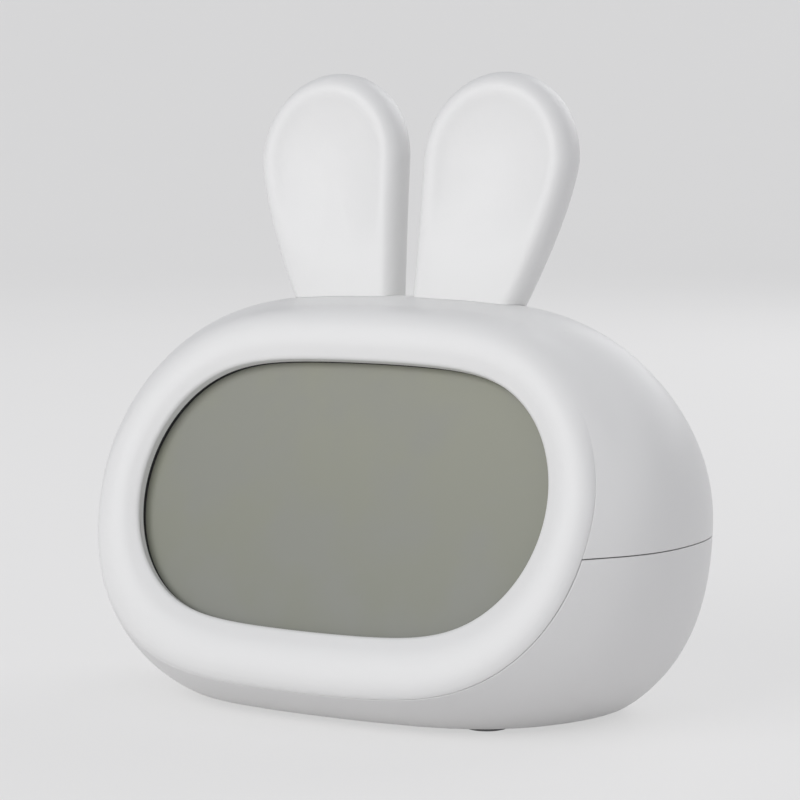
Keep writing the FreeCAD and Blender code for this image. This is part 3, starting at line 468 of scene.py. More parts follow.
def rim_ring(grow, out):
    """A ring of the rim, 0 at the window and 1 at the lip, this far out of the lip's plane."""
    return (FACE_Y - out * cos(FACE_TILT), FACE_Z + out * sin(FACE_TILT), FACE_TILT,
            WINDOW_HALF_WIDTH + grow * RIM_SIDE, WINDOW_HALF_HEIGHT + grow * RIM_TOP,
            WINDOW_HALF_HEIGHT + grow * RIM_BOTTOM,
            WINDOW_SQUARE + grow * (LIP_SQUARE - WINDOW_SQUARE),
            grow * LIP_TOP_FILL, grow * LIP_BOTTOM_FILL)


def shrunk(ring, share):
    """The same ring, smaller; share 0 closes it to a point."""
    y, z, lean, half, top, bottom = ring[:6]
    return (y, z, lean, half * share, top * share, bottom * share) + tuple(ring[6:])


def closed(rings):
    """The rings with a point at both ends, so that their skin is closed."""
    return [shrunk(rings[0], 0.0)] + rings + [shrunk(rings[-1], 0.0)]


# %% [markdown]
# ## One skin for the whole clock
# Rim and body are one flowing surface that the mould later splits in two. So the skin is swept
# whole: the window's wall, the bead of the rim, the body and the back. Two things are then done
# to its points. Towards the top the crease behind the rim melts into the body, as it does on the
# real clock. Below the side seam both edges of the joint get the small round that any moulded
# edge has, so that the seam shows as a soft groove and not as a drawn line. Above the side seam
# the groove is fainter, and it fades out as the crease melts.

# %% Sweep the outside
BEAD = np.array([(0.0, 0.12), (0.02, 0.27), (0.09, 0.47), (0.25, 0.79), (0.48, 1.0), (0.68, 0.96),
                 (0.84, 0.74), (0.96, 0.30), (1.0, 0.0)])
BEAD_MEAN_WIDTH = 13.2
REVEAL_DEPTH = FRONT_PLATE + 0.1
SEAM_ROUND = 0.34
SEAM_GAP = 0.14
# Distances from a joint at which rings stand, finest where its edge is rounded
NEAR = np.array([0.0, 0.05, 0.1, 0.16, 0.22, 0.29, 0.38, 0.6, 1.0, 1.6])
NEAR_END = 2.4
BEAD_STEPS = 44
BODY_STEP = 1.3
CAP_SHARES = (0.8, 0.5, 0.2, 0.0)


def bead_rings():
    """Rings over the bead, finest beside the lip."""
    size = BEAD * (BEAD_MEAN_WIDTH, RIM_HEIGHT)
    knots = chords(size)
    length = knots[-1]
    coarse = np.linspace(0, length - NEAR_END, BEAD_STEPS)
    distances = np.concatenate([coarse, length - NEAR[::-1]])
    profile = spline(knots, BEAD, distances)
    return [rim_ring(grow, out * RIM_HEIGHT) for grow, out in profile], distances - length


reveal = [shrunk(rim_ring(0, -REVEAL_DEPTH), share) for share in (0.0, 0.9, 1.0)]
reveal += [rim_ring(0, out) for out in (-1.1, -0.5, 0.0)]
bead, bead_at = bead_rings()
body_at = np.concatenate([NEAR[1:], np.arange(NEAR_END, BODY_LENGTH, BODY_STEP), [BODY_LENGTH]])
body = body_rings(body_at)
back_cap = [shrunk(body[-1], share) for share in CAP_SHARES]
lip_row = len(reveal) + len(bead) - 1
skin = sweep_points(reveal + bead + body + back_cap)
along = np.concatenate([bead_at, body_at])
print("skin:", skin.shape[0], "rings of", skin.shape[1], "points; lip is ring", lip_row)

# %% Melt the crease behind the rim towards the top
CREASE_ENDS = radians(9.0)
CREASE_GONE = radians(40.0)
CREASE_RISE = 27.0
BLEND_RIM = 6.5
BLEND_BODY = 11.0
angles = 2 * pi * np.arange(AROUND) / AROUND


def ease(value):
    """A share from 0 to 1 that starts and ends gently."""
    value = np.clip(value, 0, 1)
    return value * value * (3 - 2 * value)


def bridge_between(start, into, stop, out_of, share):
    """A smooth curve from start to stop that leaves and arrives in the given directions."""
    return ((2 * share ** 3 - 3 * share ** 2 + 1) * start
            + (share ** 3 - 2 * share ** 2 + share) * into
            + (3 * share ** 2 - 2 * share ** 3) * stop + (share ** 3 - share ** 2) * out_of)


def soften_lip(skin):
    """Replaces the corner at the lip by a smooth bridge, more and more towards the top."""
    first = len(reveal)
    begin = np.searchsorted(along, -BLEND_RIM)
    end = np.searchsorted(along, BLEND_BODY)
    start, stop = first + begin, first + end
    span = along[end] - along[begin]
    share = ((along[begin:end + 1] - along[begin]) / span)[:, None, None]
    into = (skin[start] - skin[start - 1]) / (along[begin] - along[begin - 1]) * span
    out_of = (skin[stop + 1] - skin[stop]) / (along[end + 1] - along[end]) * span
    bridge = bridge_between(skin[start], into, skin[stop], out_of, share)
    lean = np.arcsin(np.clip(np.sin(angles), -1, 1))
    weight = ease((lean - CREASE_ENDS) / (CREASE_GONE - CREASE_ENDS))[None, :, None]
    skin[start:stop + 1] = skin[start:stop + 1] * (1 - weight) + bridge * weight


soften_lip(skin)
print("crease melted above", round(np.degrees(CREASE_ENDS)), "degrees round the rim")

# %% Round the edge of the joint along the lip
SHORTEST = 1e-9


def rounding(distance):
    """How deep a rounded edge lies at a distance from the seam's middle."""
    reach = np.clip(SEAM_ROUND - np.abs(distance), 0, SEAM_ROUND)
    return SEAM_ROUND - np.sqrt(np.maximum(SEAM_ROUND ** 2 - reach ** 2, 0))


def ring_normals(skin):
    """Outward directions of a grid of rings."""
    down = np.gradient(skin, axis=0)
    round_about = np.roll(skin, -1, axis=1) - np.roll(skin, 1, axis=1)
    normal = np.cross(round_about, down)
    length = np.linalg.norm(normal, axis=2, keepdims=True)
    return normal / np.maximum(length, SHORTEST)


def flatten(points, floor, blend=0.8):
    """Rests a round underside on a flat floor, with a soft edge."""
    rise = points[..., 2] - floor
    points[..., 2] = floor + 0.5 * (rise + np.sqrt(rise ** 2 + blend ** 2))
    return points


# The groove fades out over a height; above the seam it is fainter and fades more slowly
FADE = 0.6
FAINT_DEPTH = 0.55
FAINT_FADE = 0.8 * CREASE_RISE


def groove_lip(skin):
    """Grooves the lip below the seam, and faintly above it until the crease has melted."""
    first = len(reveal)
    normals = ring_normals(skin)
    lip = skin[lip_row]
    outward = np.sign(np.sum(normals[lip_row] * (lip - lip.mean(axis=0)), axis=1).mean())
    height = lip[:, 2]
    below = ease((SEAM_Z + FADE / 2 - height) / FADE)
    above = FAINT_DEPTH * ease((SEAM_Z + CREASE_RISE - height) / FAINT_FADE)
    depth_share = np.maximum(below, above)
    for row in range(first, first + len(along)):
        depth = rounding(along[row - first]) * depth_share
        skin[row] -= outward * normals[row] * depth[:, None]


groove_lip(skin)
whole = grid_solid("whole", flatten(skin, FOOT_HEIGHT))
print("whole skin faces:", len(whole.data.polygons))

# %% [markdown]
# ## Splitting the skin into the two shells
# The upper shell carries the rim and everything above the side seam. The lower shell is the part
# behind the lip and below the seam. One wedge, cut a hair smaller for one half and a hair larger
# for the other, leaves the gap of a real joint between them.

# %% Places in the face's own frame
def face_yz(up, out):
    """Where a height along the leaning face and a distance out of it lie, as (y, z)."""
    y = FACE_Y + up * sin(FACE_TILT) - out * cos(FACE_TILT)
    z = FACE_Z + up * cos(FACE_TILT) + out * sin(FACE_TILT)
    return y, z


def out_of_face(points):
    """Distance in front of the lip's plane."""
    return (FACE_Y - points[..., 1]) * cos(FACE_TILT) + (points[..., 2] - FACE_Z) * sin(FACE_TILT)


def face_box(low, high):
    """A box across the whole face between two distances out of it."""
    corners = [face_yz(-FAR, low), face_yz(FAR, low), face_yz(FAR, high), face_yz(-FAR, high)]
    return prism(corners, -FAR, FAR)


WEDGE_BOTTOM = -50.0


def wedge(gap):
    """Everything behind the lip and below the seam, grown by the gap."""
    top = SEAM_Z + gap
    up, bottom = [(z - FACE_Z - gap * sin(FACE_TILT)) / cos(FACE_TILT) for z in (top, WEDGE_BOTTOM)]
    return prism([face_yz(up, gap), (FAR, top), (FAR, WEDGE_BOTTOM), face_yz(bottom, gap)],
                 -FAR, FAR)


# %% Groove the side seam
CUT_TOLERANCE = 1e-8
FINE_LOOPS = NEAR[:8]
SEAM_FRONT = FACE_Y - 30.0


def groove_seam(piece):
    """Adds fine loops beside the seam and rounds both of its edges, behind the lip only."""
    bm = bmesh.new()
    bm.from_mesh(piece.data)
    for offset in sorted({*-FINE_LOOPS, *FINE_LOOPS}):
        height = (SEAM_Z + offset) * MM
        faces = [face for face in bm.faces
                 if min(v.co.z for v in face.verts) < height < max(v.co.z for v in face.verts)
                 and out_of_face(np.array(face.calc_center_median()) / MM) < 0]
        around = {item for face in faces for item in (*face.verts, *face.edges)}
        bmesh.ops.bisect_plane(bm, geom=faces + list(around), plane_co=(0, 0, height),
                               plane_no=(0, 0, 1), dist=CUT_TOLERANCE)
    bm.normal_update()
    for vert in bm.verts:
        place = np.array(vert.co) / MM
        depth = rounding(place[2] - SEAM_Z)
        if depth > 0 and place[1] > SEAM_FRONT:
            vert.co -= vert.normal * depth * ease(-out_of_face(place) / FADE) * MM
    bm.to_mesh(piece.data)
    bm.free()


groove_seam(whole)
print("with the seam:", len(whole.data.polygons), "faces")


# %% The inside of the walls
INSIDE_RINGS = 60


def inside_solid(inset):
    """The room inside the body, one wall in."""
    rings = closed(body_rings(np.linspace(0, BODY_LENGTH, INSIDE_RINGS), inset))
    return grid_solid("inside", flatten(sweep_points(rings), FOOT_HEIGHT + inset))


def window_solid(low, high):
    """The window's outline between two distances out of the lip's plane."""
    rings = [rim_ring(0, low), rim_ring(0, high)]
    return grid_solid("window", sweep_points(closed(rings)))


# Round the rim's hollow: share of its width, share of its height
HOLLOW = [(0.49, 0.36), (0.60, 0.30), (0.69, 0.10), (0.74, -0.25), (0.74, -0.85),
          (0.16, -0.86), (0.16, -0.40), (0.22, -0.08), (0.34, 0.20)]


def rim_hollow():
    """The hollow that is left inside the rim, so that it is no thicker than the walls."""
    rings = [rim_ring(grow, out * RIM_HEIGHT) for grow, out in HOLLOW]
    return grid_solid("rim hollow", sweep_points(rings), loop=True)


# %% Cut the two shells
TONGUE_GAP = 0.15
TONGUE_OUT = 0.3
TONGUE_RISE = 1.0
# How far in front of the lip and behind it the tongue is cut open for the window
TONGUE_WINDOW = (-4.0, 1.0)


def split_shells():
    """The upper and the lower shell, with the tongue that guides one in the other."""
    room = inside_solid(WALL)
    lower = cut(keep(copy_of(whole, "lower_shell_skin"), wedge(-SEAM_GAP)), copy_of(room))
    cavity = cut(room, face_box(-FRONT_PLATE, FAR))
    upper = cut(copy_of(whole, "upper_shell_skin"), wedge(SEAM_GAP), cavity)
    tongue = keep(keep(inside_solid(WALL + TONGUE_GAP), face_box(-FRONT_PLATE, TONGUE_OUT)),
                  box((-FAR, -FAR, -FAR), (FAR, FAR, SEAM_Z + TONGUE_RISE)))
    tongue = cut(tongue, window_solid(*TONGUE_WINDOW))
    upper = cut(join(upper, tongue), rim_hollow())
    return upper, lower


upper, lower = split_shells()
print("upper:", len(upper.data.polygons), "lower:", len(lower.data.polygons), "faces")

# %% [markdown]
# ## Openings, keys and other rounded plates
# Keys, the door and the openings that they sit in are all a rounded rectangle carried straight
# through the back, with a small round where it meets the outside. They could be drawn as curves and
# extruded, but one helper that stacks the same outline, grown a little at each depth, makes a key
# and its opening from the same numbers, so they always fit.

# %% Plates along Y
def rounded_outline(half_x, half_z, corner, steps=8):
    """Points round a rectangle with rounded corners, from its middle."""
    points = []
    for quarter in range(4):
        middle_x = (half_x - corner) * (1 if quarter in (0, 3) else -1)
        middle_z = (half_z - corner) * (1 if quarter < 2 else -1)
        for step in range(steps + 1):
            turn = (quarter + step / steps) * pi / 2
            points.append((middle_x + corner * cos(turn), middle_z + corner * sin(turn)))
    return points


def plate(x, z, half_x, half_z, corner, profile):
    """A rounded rectangle carried along Y. The profile is (y, growth of the outline)."""
    rows = []
    for y, grow in profile:
        outline = rounded_outline(half_x + grow, half_z + grow, max(corner + grow, 0.05))
        rows.append([(x + across, y, z + up) for across, up in outline])
    ends = [[(x, profile[end][0], z)] * len(rows[0]) for end in (0, -1)]
    return grid_solid("plate", [ends[0]] + rows + [ends[1]])


def round_end(front, radius, sign=-1, steps=5):
    """The end of a profile in a quarter round: inwards on a key, outwards on an opening."""
    return [(front - radius * (1 - sin(a)), sign * radius * (1 - cos(a)))
            for a in np.linspace(0, pi / 2, steps)]


OPENING_ROUND = 0.35
BEYOND = 5.0


def opening(x, z, half_x, half_z, corner, start):
    """What is cut away for an opening in the back, with a soft edge outside."""
    profile = [(start, 0.0)] + round_end(BACK, OPENING_ROUND, 1) + [(BACK + BEYOND, OPENING_ROUND)]
    return plate(x, z, half_x, half_z, corner, profile)


def block(x, half, depths, heights):
    """A box round x, from its half width and its ends in depth and in height."""
    return box((x - half, depths[0], heights[0]), (x + half, depths[1], heights[1]))


def ball(place, radius, rings=24, around=64):
    turns = np.linspace(0, pi, rings)
    return lathe(place, (0, 0, 1), [(-radius * cos(a), radius * sin(a)) for a in turns], around)


# %% [markdown]
# ## What repeats
# Sound holes, feet and grip grooves are each one small shape in a pattern. They could be placed one
# by one, but a tree that puts a shape at every point of a list needs only the list. The copies are
# made real at its end, because an instance isn't in the mesh that the export writes.

# %% The tree that copies a shape to places
def make_copies_tree():
    tree, read, end = geometry_tree("Copies at places", [
        ("Shape", "NodeSocketObject"), ("Places", "NodeSocketObject")])
    shape = add_node(tree, "GeometryNodeObjectInfo", {"Object": read("Shape")})
    places = add_node(tree, "GeometryNodeObjectInfo", {"Object": read("Places")})
    copied = add_node(tree, "GeometryNodeInstanceOnPoints", {
        "Points": places.outputs["Geometry"], "Instance": shape.outputs["Geometry"]})
    end(copied.outputs[0])
    return tree


COPIES = make_copies_tree()


def copies(name, shape, places):
    """One mesh of a shape made at the origin, at every place."""
    holder = mesh_object("places", places, [])
    piece = run_tree(COPIES, name, Shape=shape, Places=holder)
    remove(shape, holder)
    return tidy(piece)


# %% [markdown]
# ## Inside the upper shell
# Four posts take the case screws, two more carry the key board, and four bosses behind the rim hold
# the display frame. They are moulded with the shell, so they are joined to it and then drilled.

# %% Places on the upper shell
SIDES = (-1, 1)
UPWARDS = (0, 0, 1)
BACKWARDS = (0, 1, 0)
OUT_OF_FACE = (0, -cos(FACE_TILT), sin(FACE_TILT))
POST_PLACES = [(side * 48.1, y) for side in SIDES for y in (4.0, 26.0)]
KEY_POST_PLACES = [(side * 45.0, 57.85) for side in SIDES]
BOSS_PLACES = [(side * 20.0, up) for side in SIDES for up in (40.8, -42.3)]
BOSS_REAR = -9.1
BOSS_FRONT = 1.8
EAR_SCREW_PLACES = [(side * x, 11.8, 85.0) for side in SIDES for x in (8.5, 26.5)]
KEY_ROW = 52.5
KEY_PLACES = {"mode_button": -37.0, "set_button": -22.0, "up_button": -7.0, "down_button": 8.0}
KEY_RADIUS = 4.0
KEY_GAP = 0.25
SNOOZE_ROW = 63.2
SNOOZE_HALF = (19.0, 4.0)
SWITCH_X = 34.0
SWITCH_HALF = 1.8
SWITCH_REACH = 1.5
SWITCH_SLOT_CORNER = 0.4
THROUGH = 39.0
# Radius and length of each kind of post, boss and drilled hole
POST = (4.0, 70.0)
KEY_POST = (3.0, 7.4)
BOSS = (2.5, BOSS_FRONT - BOSS_REAR)
POST_DRILL = (1.5, 13.0)
KEY_POST_DRILL = (1.0, 5.0)
BOSS_DRILL = (1.0, 7.0)
EAR_SCREW_HOLE = (1.6, 30.0)
KEY_POST_FRONT = 35.0
print("posts:", len(POST_PLACES) + len(KEY_POST_PLACES), "bosses:", len(BOSS_PLACES))


# %% Posts, bosses and openings of the upper shell
def pins(places, axis, size):
    """A cylinder of this radius and length at every place."""
    return [cylinder(place, axis, *size) for place in places]


def add_inside(shell, posts):
    """Joins posts to a shell, each cut off where it would leave the skin."""
    return join(shell, *[keep(post, copy_of(whole)) for post in posts])


def upper_pins(rise, back, out, *sizes):
    """What stands at the posts, key posts and bosses, from where it starts and its size."""
    return (pins([(x, y, SEAM_Z + rise) for x, y in POST_PLACES], UPWARDS, sizes[0])
            + pins([(x, KEY_POST_FRONT - back, z) for x, z in KEY_POST_PLACES], BACKWARDS, sizes[1])
            + pins([(x, *face_yz(up, BOSS_REAR - out)) for x, up in BOSS_PLACES], OUT_OF_FACE,
                   sizes[2]))


def upper_openings():
    """The openings of the keys, the snooze bar and the switch."""
    hole = KEY_RADIUS + KEY_GAP
    openings = [opening(x, KEY_ROW, hole, hole, hole, THROUGH) for x in KEY_PLACES.values()]
    snooze = [half + KEY_GAP for half in SNOOZE_HALF]
    openings.append(opening(0, SNOOZE_ROW, *snooze, snooze[1], THROUGH))
    slot = SWITCH_HALF + KEY_GAP
    openings.append(opening(SWITCH_X, KEY_ROW, slot + SWITCH_REACH, slot, SWITCH_SLOT_CORNER,
                            THROUGH))
    return openings


def finish_upper(shell):
    """Adds the posts and bosses, then drills them and cuts the openings."""
    shell = add_inside(shell, upper_pins(SEAM_GAP, 0.0, 0.0, POST, KEY_POST, BOSS))
    drills = upper_pins(-1.0, 1.0, 1.0, POST_DRILL, KEY_POST_DRILL, BOSS_DRILL)
    drills += pins(EAR_SCREW_PLACES, UPWARDS, EAR_SCREW_HOLE)
    return cut(shell, *drills, *upper_openings())


upper = finish_upper(upper)
upper.name = "upper_shell_skin"
print("upper shell with its openings:", len(upper.data.polygons), "faces")

# %% [markdown]
# ## Inside the lower shell
# The lower shell carries the screws' posts, the bay for the two cells with the seat of its door,
# the collar round the sounder, and pads over the four feet. The sounder speaks through rings of
# small holes in the back: one in the middle, six round it and twelve round those.

# %% Places on the lower shell
BAY_HALF = 26.0
BAY_LOW = 18.0
BAY_HIGH = 39.8
BAY_FRONT = 30.4
BAY_WALL = 1.6
DOOR_HALF = 28.0
DOOR_LOW = 16.0
DOOR_HIGH = 41.8
DOOR_GAP = 0.3
DOOR_MIDDLE = (DOOR_LOW + DOOR_HIGH) / 2
DOOR_HALF_HEIGHT = (DOOR_HIGH - DOOR_LOW) / 2
DOOR_OPENING_CORNER = 1.3
SEAT_RIM = 1.2
SEAT_FRONT = 39.7
OVERLAP = 0.5
TAB_PLACES = [side * 14.0 for side in SIDES]
TAB_HALF = 3.0
POCKET_DEPTHS = (38.9, INSIDE_BACK + 0.2)
POCKET_HEIGHTS = (13.9, 18.1)
SCOOP_RADIUS = 9.0
SCOOP_Y = 50.1
CELL_Y = 35.85
CELL_ROWS = (23.45, 34.35)
WIRE_HOLE_PLACES = [(-29.2, CELL_Y, row) for row in CELL_ROWS]
SPEAKER = (44.0, 28.5)
SOUND_RINGS = ((0.0, 1), (3.2, 6), (6.2, 12))
SOUND_HOLE = 0.8
FEET = [(side * 36.0, y) for side in SIDES for y in (-14.0, 22.0)]
FOOT_TOP = 1.8
FOOT_RADIUS = 5.5
FOOT_GAP = 0.1
# Radius and length of posts, holes and pads, as above
SCREW_POST = (4.6, SEAM_Z - SEAM_GAP)
SCREW_HOLE = (1.7, SEAM_Z + 5.0)
HEAD_HOLE = (3.1, 21.0)
FOOT_PAD = (7.0, 3.0)
WIRE_HOLE = (1.0, 4.0)
# Front end, radius and length of the sounder's collar, its room and its throat
COLLAR = (37.3, 10.8, 4.5)
SOUNDER_ROOM = (36.3, 9.1, 3.8)
SOUNDER_THROAT = (36.3, 7.5, 5.0)
print("sound holes:", sum(count for radius, count in SOUND_RINGS), "feet:", len(FEET))


# %% Bay, collar and sound holes of the lower shell
def sound_places():
    """The middles of the sound holes, in rings."""
    places = []
    for radius, count in SOUND_RINGS:
        for step in range(count):
            turn = 2 * pi * step / count
            places.append((SPEAKER[0] + radius * cos(turn), 0.0, SPEAKER[1] + radius * sin(turn)))
    return places


def at_speaker(front, radius, length):
    return cylinder((SPEAKER[0], front, SPEAKER[1]), BACKWARDS, radius, length)


def at_height(places, z):
    return [(x, y, z) for x, y in places]


def lower_additions():
    """The screws' posts, the bay, the door's seat, the collar and the pads of the feet."""
    rear = INSIDE_BACK + OVERLAP
    bay = block(0, BAY_HALF + BAY_WALL, (BAY_FRONT - BAY_WALL, rear),
                (BAY_LOW - BAY_WALL, BAY_HIGH + BAY_WALL))
    seat = block(0, DOOR_HALF + SEAT_RIM, (SEAT_FRONT, rear),
                 (DOOR_LOW - SEAT_RIM, DOOR_HIGH + SEAT_RIM))
    return [*pins(at_height(POST_PLACES, 0), UPWARDS, SCREW_POST), bay, seat,
            at_speaker(*COLLAR), *pins(at_height(FEET, FOOT_HEIGHT), UPWARDS, FOOT_PAD)]


def lower_holes():
    """What is cut away for screws, cells, door, wires, sounder and feet."""
    holes = pins(at_height(POST_PLACES, -1), UPWARDS, SCREW_HOLE)
    holes += pins(at_height(POST_PLACES, -1), UPWARDS, HEAD_HOLE)
    holes.append(block(0, BAY_HALF, (BAY_FRONT, BACK + BEYOND), (BAY_LOW, BAY_HIGH)))
    holes.append(opening(0, DOOR_MIDDLE, DOOR_HALF + DOOR_GAP, DOOR_HALF_HEIGHT + DOOR_GAP,
                         DOOR_OPENING_CORNER, INSIDE_BACK))
    holes.append(ball((0, SCOOP_Y, DOOR_HIGH), SCOOP_RADIUS))
    holes += [block(x, TAB_HALF + DOOR_GAP, POCKET_DEPTHS, POCKET_HEIGHTS) for x in TAB_PLACES]
    holes += pins(WIRE_HOLE_PLACES, (1, 0, 0), WIRE_HOLE)
    holes += [at_speaker(*SOUNDER_ROOM), at_speaker(*SOUNDER_THROAT)]
    hole = opening(0, 0, SOUND_HOLE, SOUND_HOLE, SOUND_HOLE, INSIDE_BACK - OVERLAP)
    holes.append(copies("sound holes", hole, sound_places()))
    return holes + pins(at_height(FEET, 0), UPWARDS, (FOOT_RADIUS + FOOT_GAP, FOOT_TOP))


def finish_lower(shell):
    return cut(add_inside(shell, lower_additions()), *lower_holes())


lower = finish_lower(lower)
lower.name = "lower_shell_skin"
print("lower shell with its openings:", len(lower.data.polygons), "faces")

# %% [markdown]
# ## Keys, bar, switch and door
# A key is a cap with a soft edge and a shallow dish for the fingertip, and a flange behind the wall
# that keeps it in. The long bar for snooze and light is the same key, stretched. The switch has
# grooves for a fingernail. The door is a plate trimmed to the body's own skin, with two tabs below,
# a springy tongue at the top, and a scoop that the finger opens it by.

# %% Make the keys
KEY_FRONT = 44.8
FLANGE_FRONT = 41.2
FLANGE_REAR = 40.1
FLANGE = [(FLANGE_REAR, 0.0), (FLANGE_FRONT, 0.0)]
INTO_FLANGE = 0.2
# Depth of a key's dish, and how far inside its edge that is, as a share of its half height
DISH = ((0.02, 0.36), (0.12, 0.55), (0.22, 0.8))


def make_key(name, x, z, half, corner, edge, flange):
    """A key with a rounded edge, a dished face and a flange behind the wall."""
    dish = [(KEY_FRONT - depth, -share * half[1]) for depth, share in DISH]
    profile = [(FLANGE_FRONT - INTO_FLANGE, 0.0)] + round_end(KEY_FRONT, edge) + dish
    cap = plate(x, z, *half, corner, profile)
    wider = plate(x, z, half[0] + flange, half[1] + flange, corner + flange, FLANGE)
    key = join(cap, wider)
    key.name = name + "_cap"
    return key


keys = {name: make_key(name, x, KEY_ROW, (KEY_RADIUS, KEY_RADIUS), KEY_RADIUS, 0.7, 1.4)
        for name, x in KEY_PLACES.items()}
snooze = "snooze_light_button"
keys[snooze] = make_key(snooze, 0, SNOOZE_ROW, SNOOZE_HALF, SNOOZE_HALF[1], 0.8, 1.0)
print("keys:", len(keys))

# %% Make the switch's knob
# Half width, half height and corner
KNOB_CAP = (SWITCH_HALF, SWITCH_HALF, 0.3)
KNOB_FLANGE = (5.8, 3.0, 0.4)
KNOB_STEM = (1.0, 1.0, 0.1)
KNOB_ROUND = 0.5
STEM_END = 38.2
GRIP_PLACES = [(SWITCH_X + step, KEY_FRONT, KEY_ROW) for step in (-0.7, 0.0, 0.7)]
GRIP_RADIUS = 0.22
GRIP_HALF_LENGTH = 2.0


def make_knob():
    """The knob of the alarm switch: cap, flange and stem, with three grooves in its face."""
    cap, wider, stem = [plate(SWITCH_X, KEY_ROW, *size, profile) for size, profile in (
        (KNOB_CAP, [(FLANGE_REAR, 0.0)] + round_end(KEY_FRONT, KNOB_ROUND)),
        (KNOB_FLANGE, FLANGE),
        (KNOB_STEM, [(STEM_END, 0.0), (FLANGE_REAR + INTO_FLANGE, 0.0)]))]
    groove = cylinder((0, 0, -GRIP_HALF_LENGTH), UPWARDS, GRIP_RADIUS, 2 * GRIP_HALF_LENGTH, 12)
    knob = cut(join(cap, wider, stem), copies("grooves", groove, GRIP_PLACES))
    knob.name = "alarm_switch_knob_grip"
    return knob


keys["alarm_switch_knob"] = make_knob()
for key in keys.values():
    print(key.name, len(smooth(key, 35).data.polygons), "faces")

# %% Make the door
DOOR_CORNER = 1.0
DOOR_ROUND = 0.3
TAB_TOP = 17.4
# Front and rear end, then lowest point, of the tabs and of the webs that hold them
TAB_PARTS = (((39.9, 41.2), DOOR_LOW - 1.5), ((41.0, 41.5), DOOR_LOW + 0.1))
TONGUE_SLOTS = [side * 4.7 for side in SIDES]
TONGUE_SLOT_HALF = 0.3
TONGUE_LENGTH = 5.0
SLOT_DEPTHS = (40.0, BACK + 1.0)
# Half width, half height and corner of a grip groove, then how it narrows with depth
GROOVE = (3.4, 0.3, 0.3)
GROOVE_PROFILE = [(-0.3, -0.25), (-0.1, -0.08), (0.0, 0.0), (1.0, 0.0)]
GROOVE_PLACES = [(0, BACK, DOOR_HIGH - drop) for drop in (7.6, 9.1, 10.6, 12.1)]
DOOR_SCOOP = (0, 51.5, DOOR_HIGH - 1.0)


def make_door():
    """The door's plate with its tabs, cut by its scoop, its grip grooves and its tongue's slots."""
    profile = [(INSIDE_BACK, 0.0)] + round_end(BACK, DOOR_ROUND)
    door = plate(0, DOOR_MIDDLE, DOOR_HALF, DOOR_HALF_HEIGHT, DOOR_CORNER, profile)
    door = keep(door, copy_of(whole))
    door = join(door, *[block(x, TAB_HALF, depths, (low, TAB_TOP))
                        for depths, low in TAB_PARTS for x in TAB_PLACES])
    heights = (DOOR_HIGH - TONGUE_LENGTH, DOOR_HIGH + 1)
    slots = [block(x, TONGUE_SLOT_HALF, SLOT_DEPTHS, heights) for x in TONGUE_SLOTS]
    grooves = copies("grip grooves", plate(0, 0, *GROOVE, GROOVE_PROFILE), GROOVE_PLACES)
    door = cut(door, ball(DOOR_SCOOP, SCOOP_RADIUS), grooves, *slots)
    door.name = "battery_door_skin"
    return smooth(door, 35)


door = make_door()
remove(whole)
print("door:", len(door.data.polygons), "faces")

# %% [markdown]
# ## Feet and springs
# The rubber feet are pressed pucks with a soft edge and a shallow hollow below, which grips a table
# like a cup. The battery springs are wire wound into a cone: the CAD model only holds their space,
# so here a tree winds each one, from its turns, its two radii and the thickness of its wire.

# %% Make the feet
# Height and radius, from the hollow's middle round the edge to the top
FOOT_PROFILE = [(0.25, 0.0), (0.25, 3.6), (0.0, 4.2), (0.0, 4.9), (0.1, 5.25), (0.35, 5.45),
                (0.7, FOOT_RADIUS), (FOOT_TOP, FOOT_RADIUS), (FOOT_TOP, 0.0)]


def make_feet():
    foot = lathe((0, 0, 0), UPWARDS, FOOT_PROFILE)
    return smooth(copies("rubber_feet_pucks", foot, at_height(FEET, 0)), 40)


feet = make_feet()
print("feet:", len(feet.data.polygons), "faces")

# %% Wind the springs
SPRING_TURNS = 5.0
SPRING_BASE = 3.2
SPRING_TIP = 2.0
SPRING_WIRE = 0.35
SPRING_END = 25.5
SPRING_LENGTH = 6.5
SPRING_STEPS = 24
WIRE_STEPS = 10


def make_coil_tree():
    """The tree that winds a wire into a cone and lays it along X."""
    numbers = ("Turns", "Base Radius", "Tip Radius", "Length", "Wire Radius", "Direction")
    tree, read, end = geometry_tree("Wound spring", [
        (label, "NodeSocketFloat") for label in numbers] + [("Place", "NodeSocketVector")])
    line = add_node(tree, "GeometryNodeCurveSpiral", {
        "Resolution": SPRING_STEPS, "Rotations": read("Turns"), "Height": read("Length"),
        "Start Radius": read("Base Radius"), "End Radius": read("Tip Radius")})
    ring = add_node(tree, "GeometryNodeCurvePrimitiveCircle", {
        "Resolution": WIRE_STEPS, "Radius": read("Wire Radius")})
    wire = add_node(tree, "GeometryNodeCurveToMesh", {
        "Curve": line.outputs[0], "Profile Curve": ring.outputs[0], "Fill Caps": True})
    turn = add_node(tree, "ShaderNodeCombineXYZ", {"Y": read("Direction") * (pi / 2)})
    placed = add_node(tree, "GeometryNodeTransform", {
        "Geometry": wire.outputs[0], "Rotation": turn.outputs[0], "Translation": read("Place")})
    end(placed.outputs[0])
    return tree


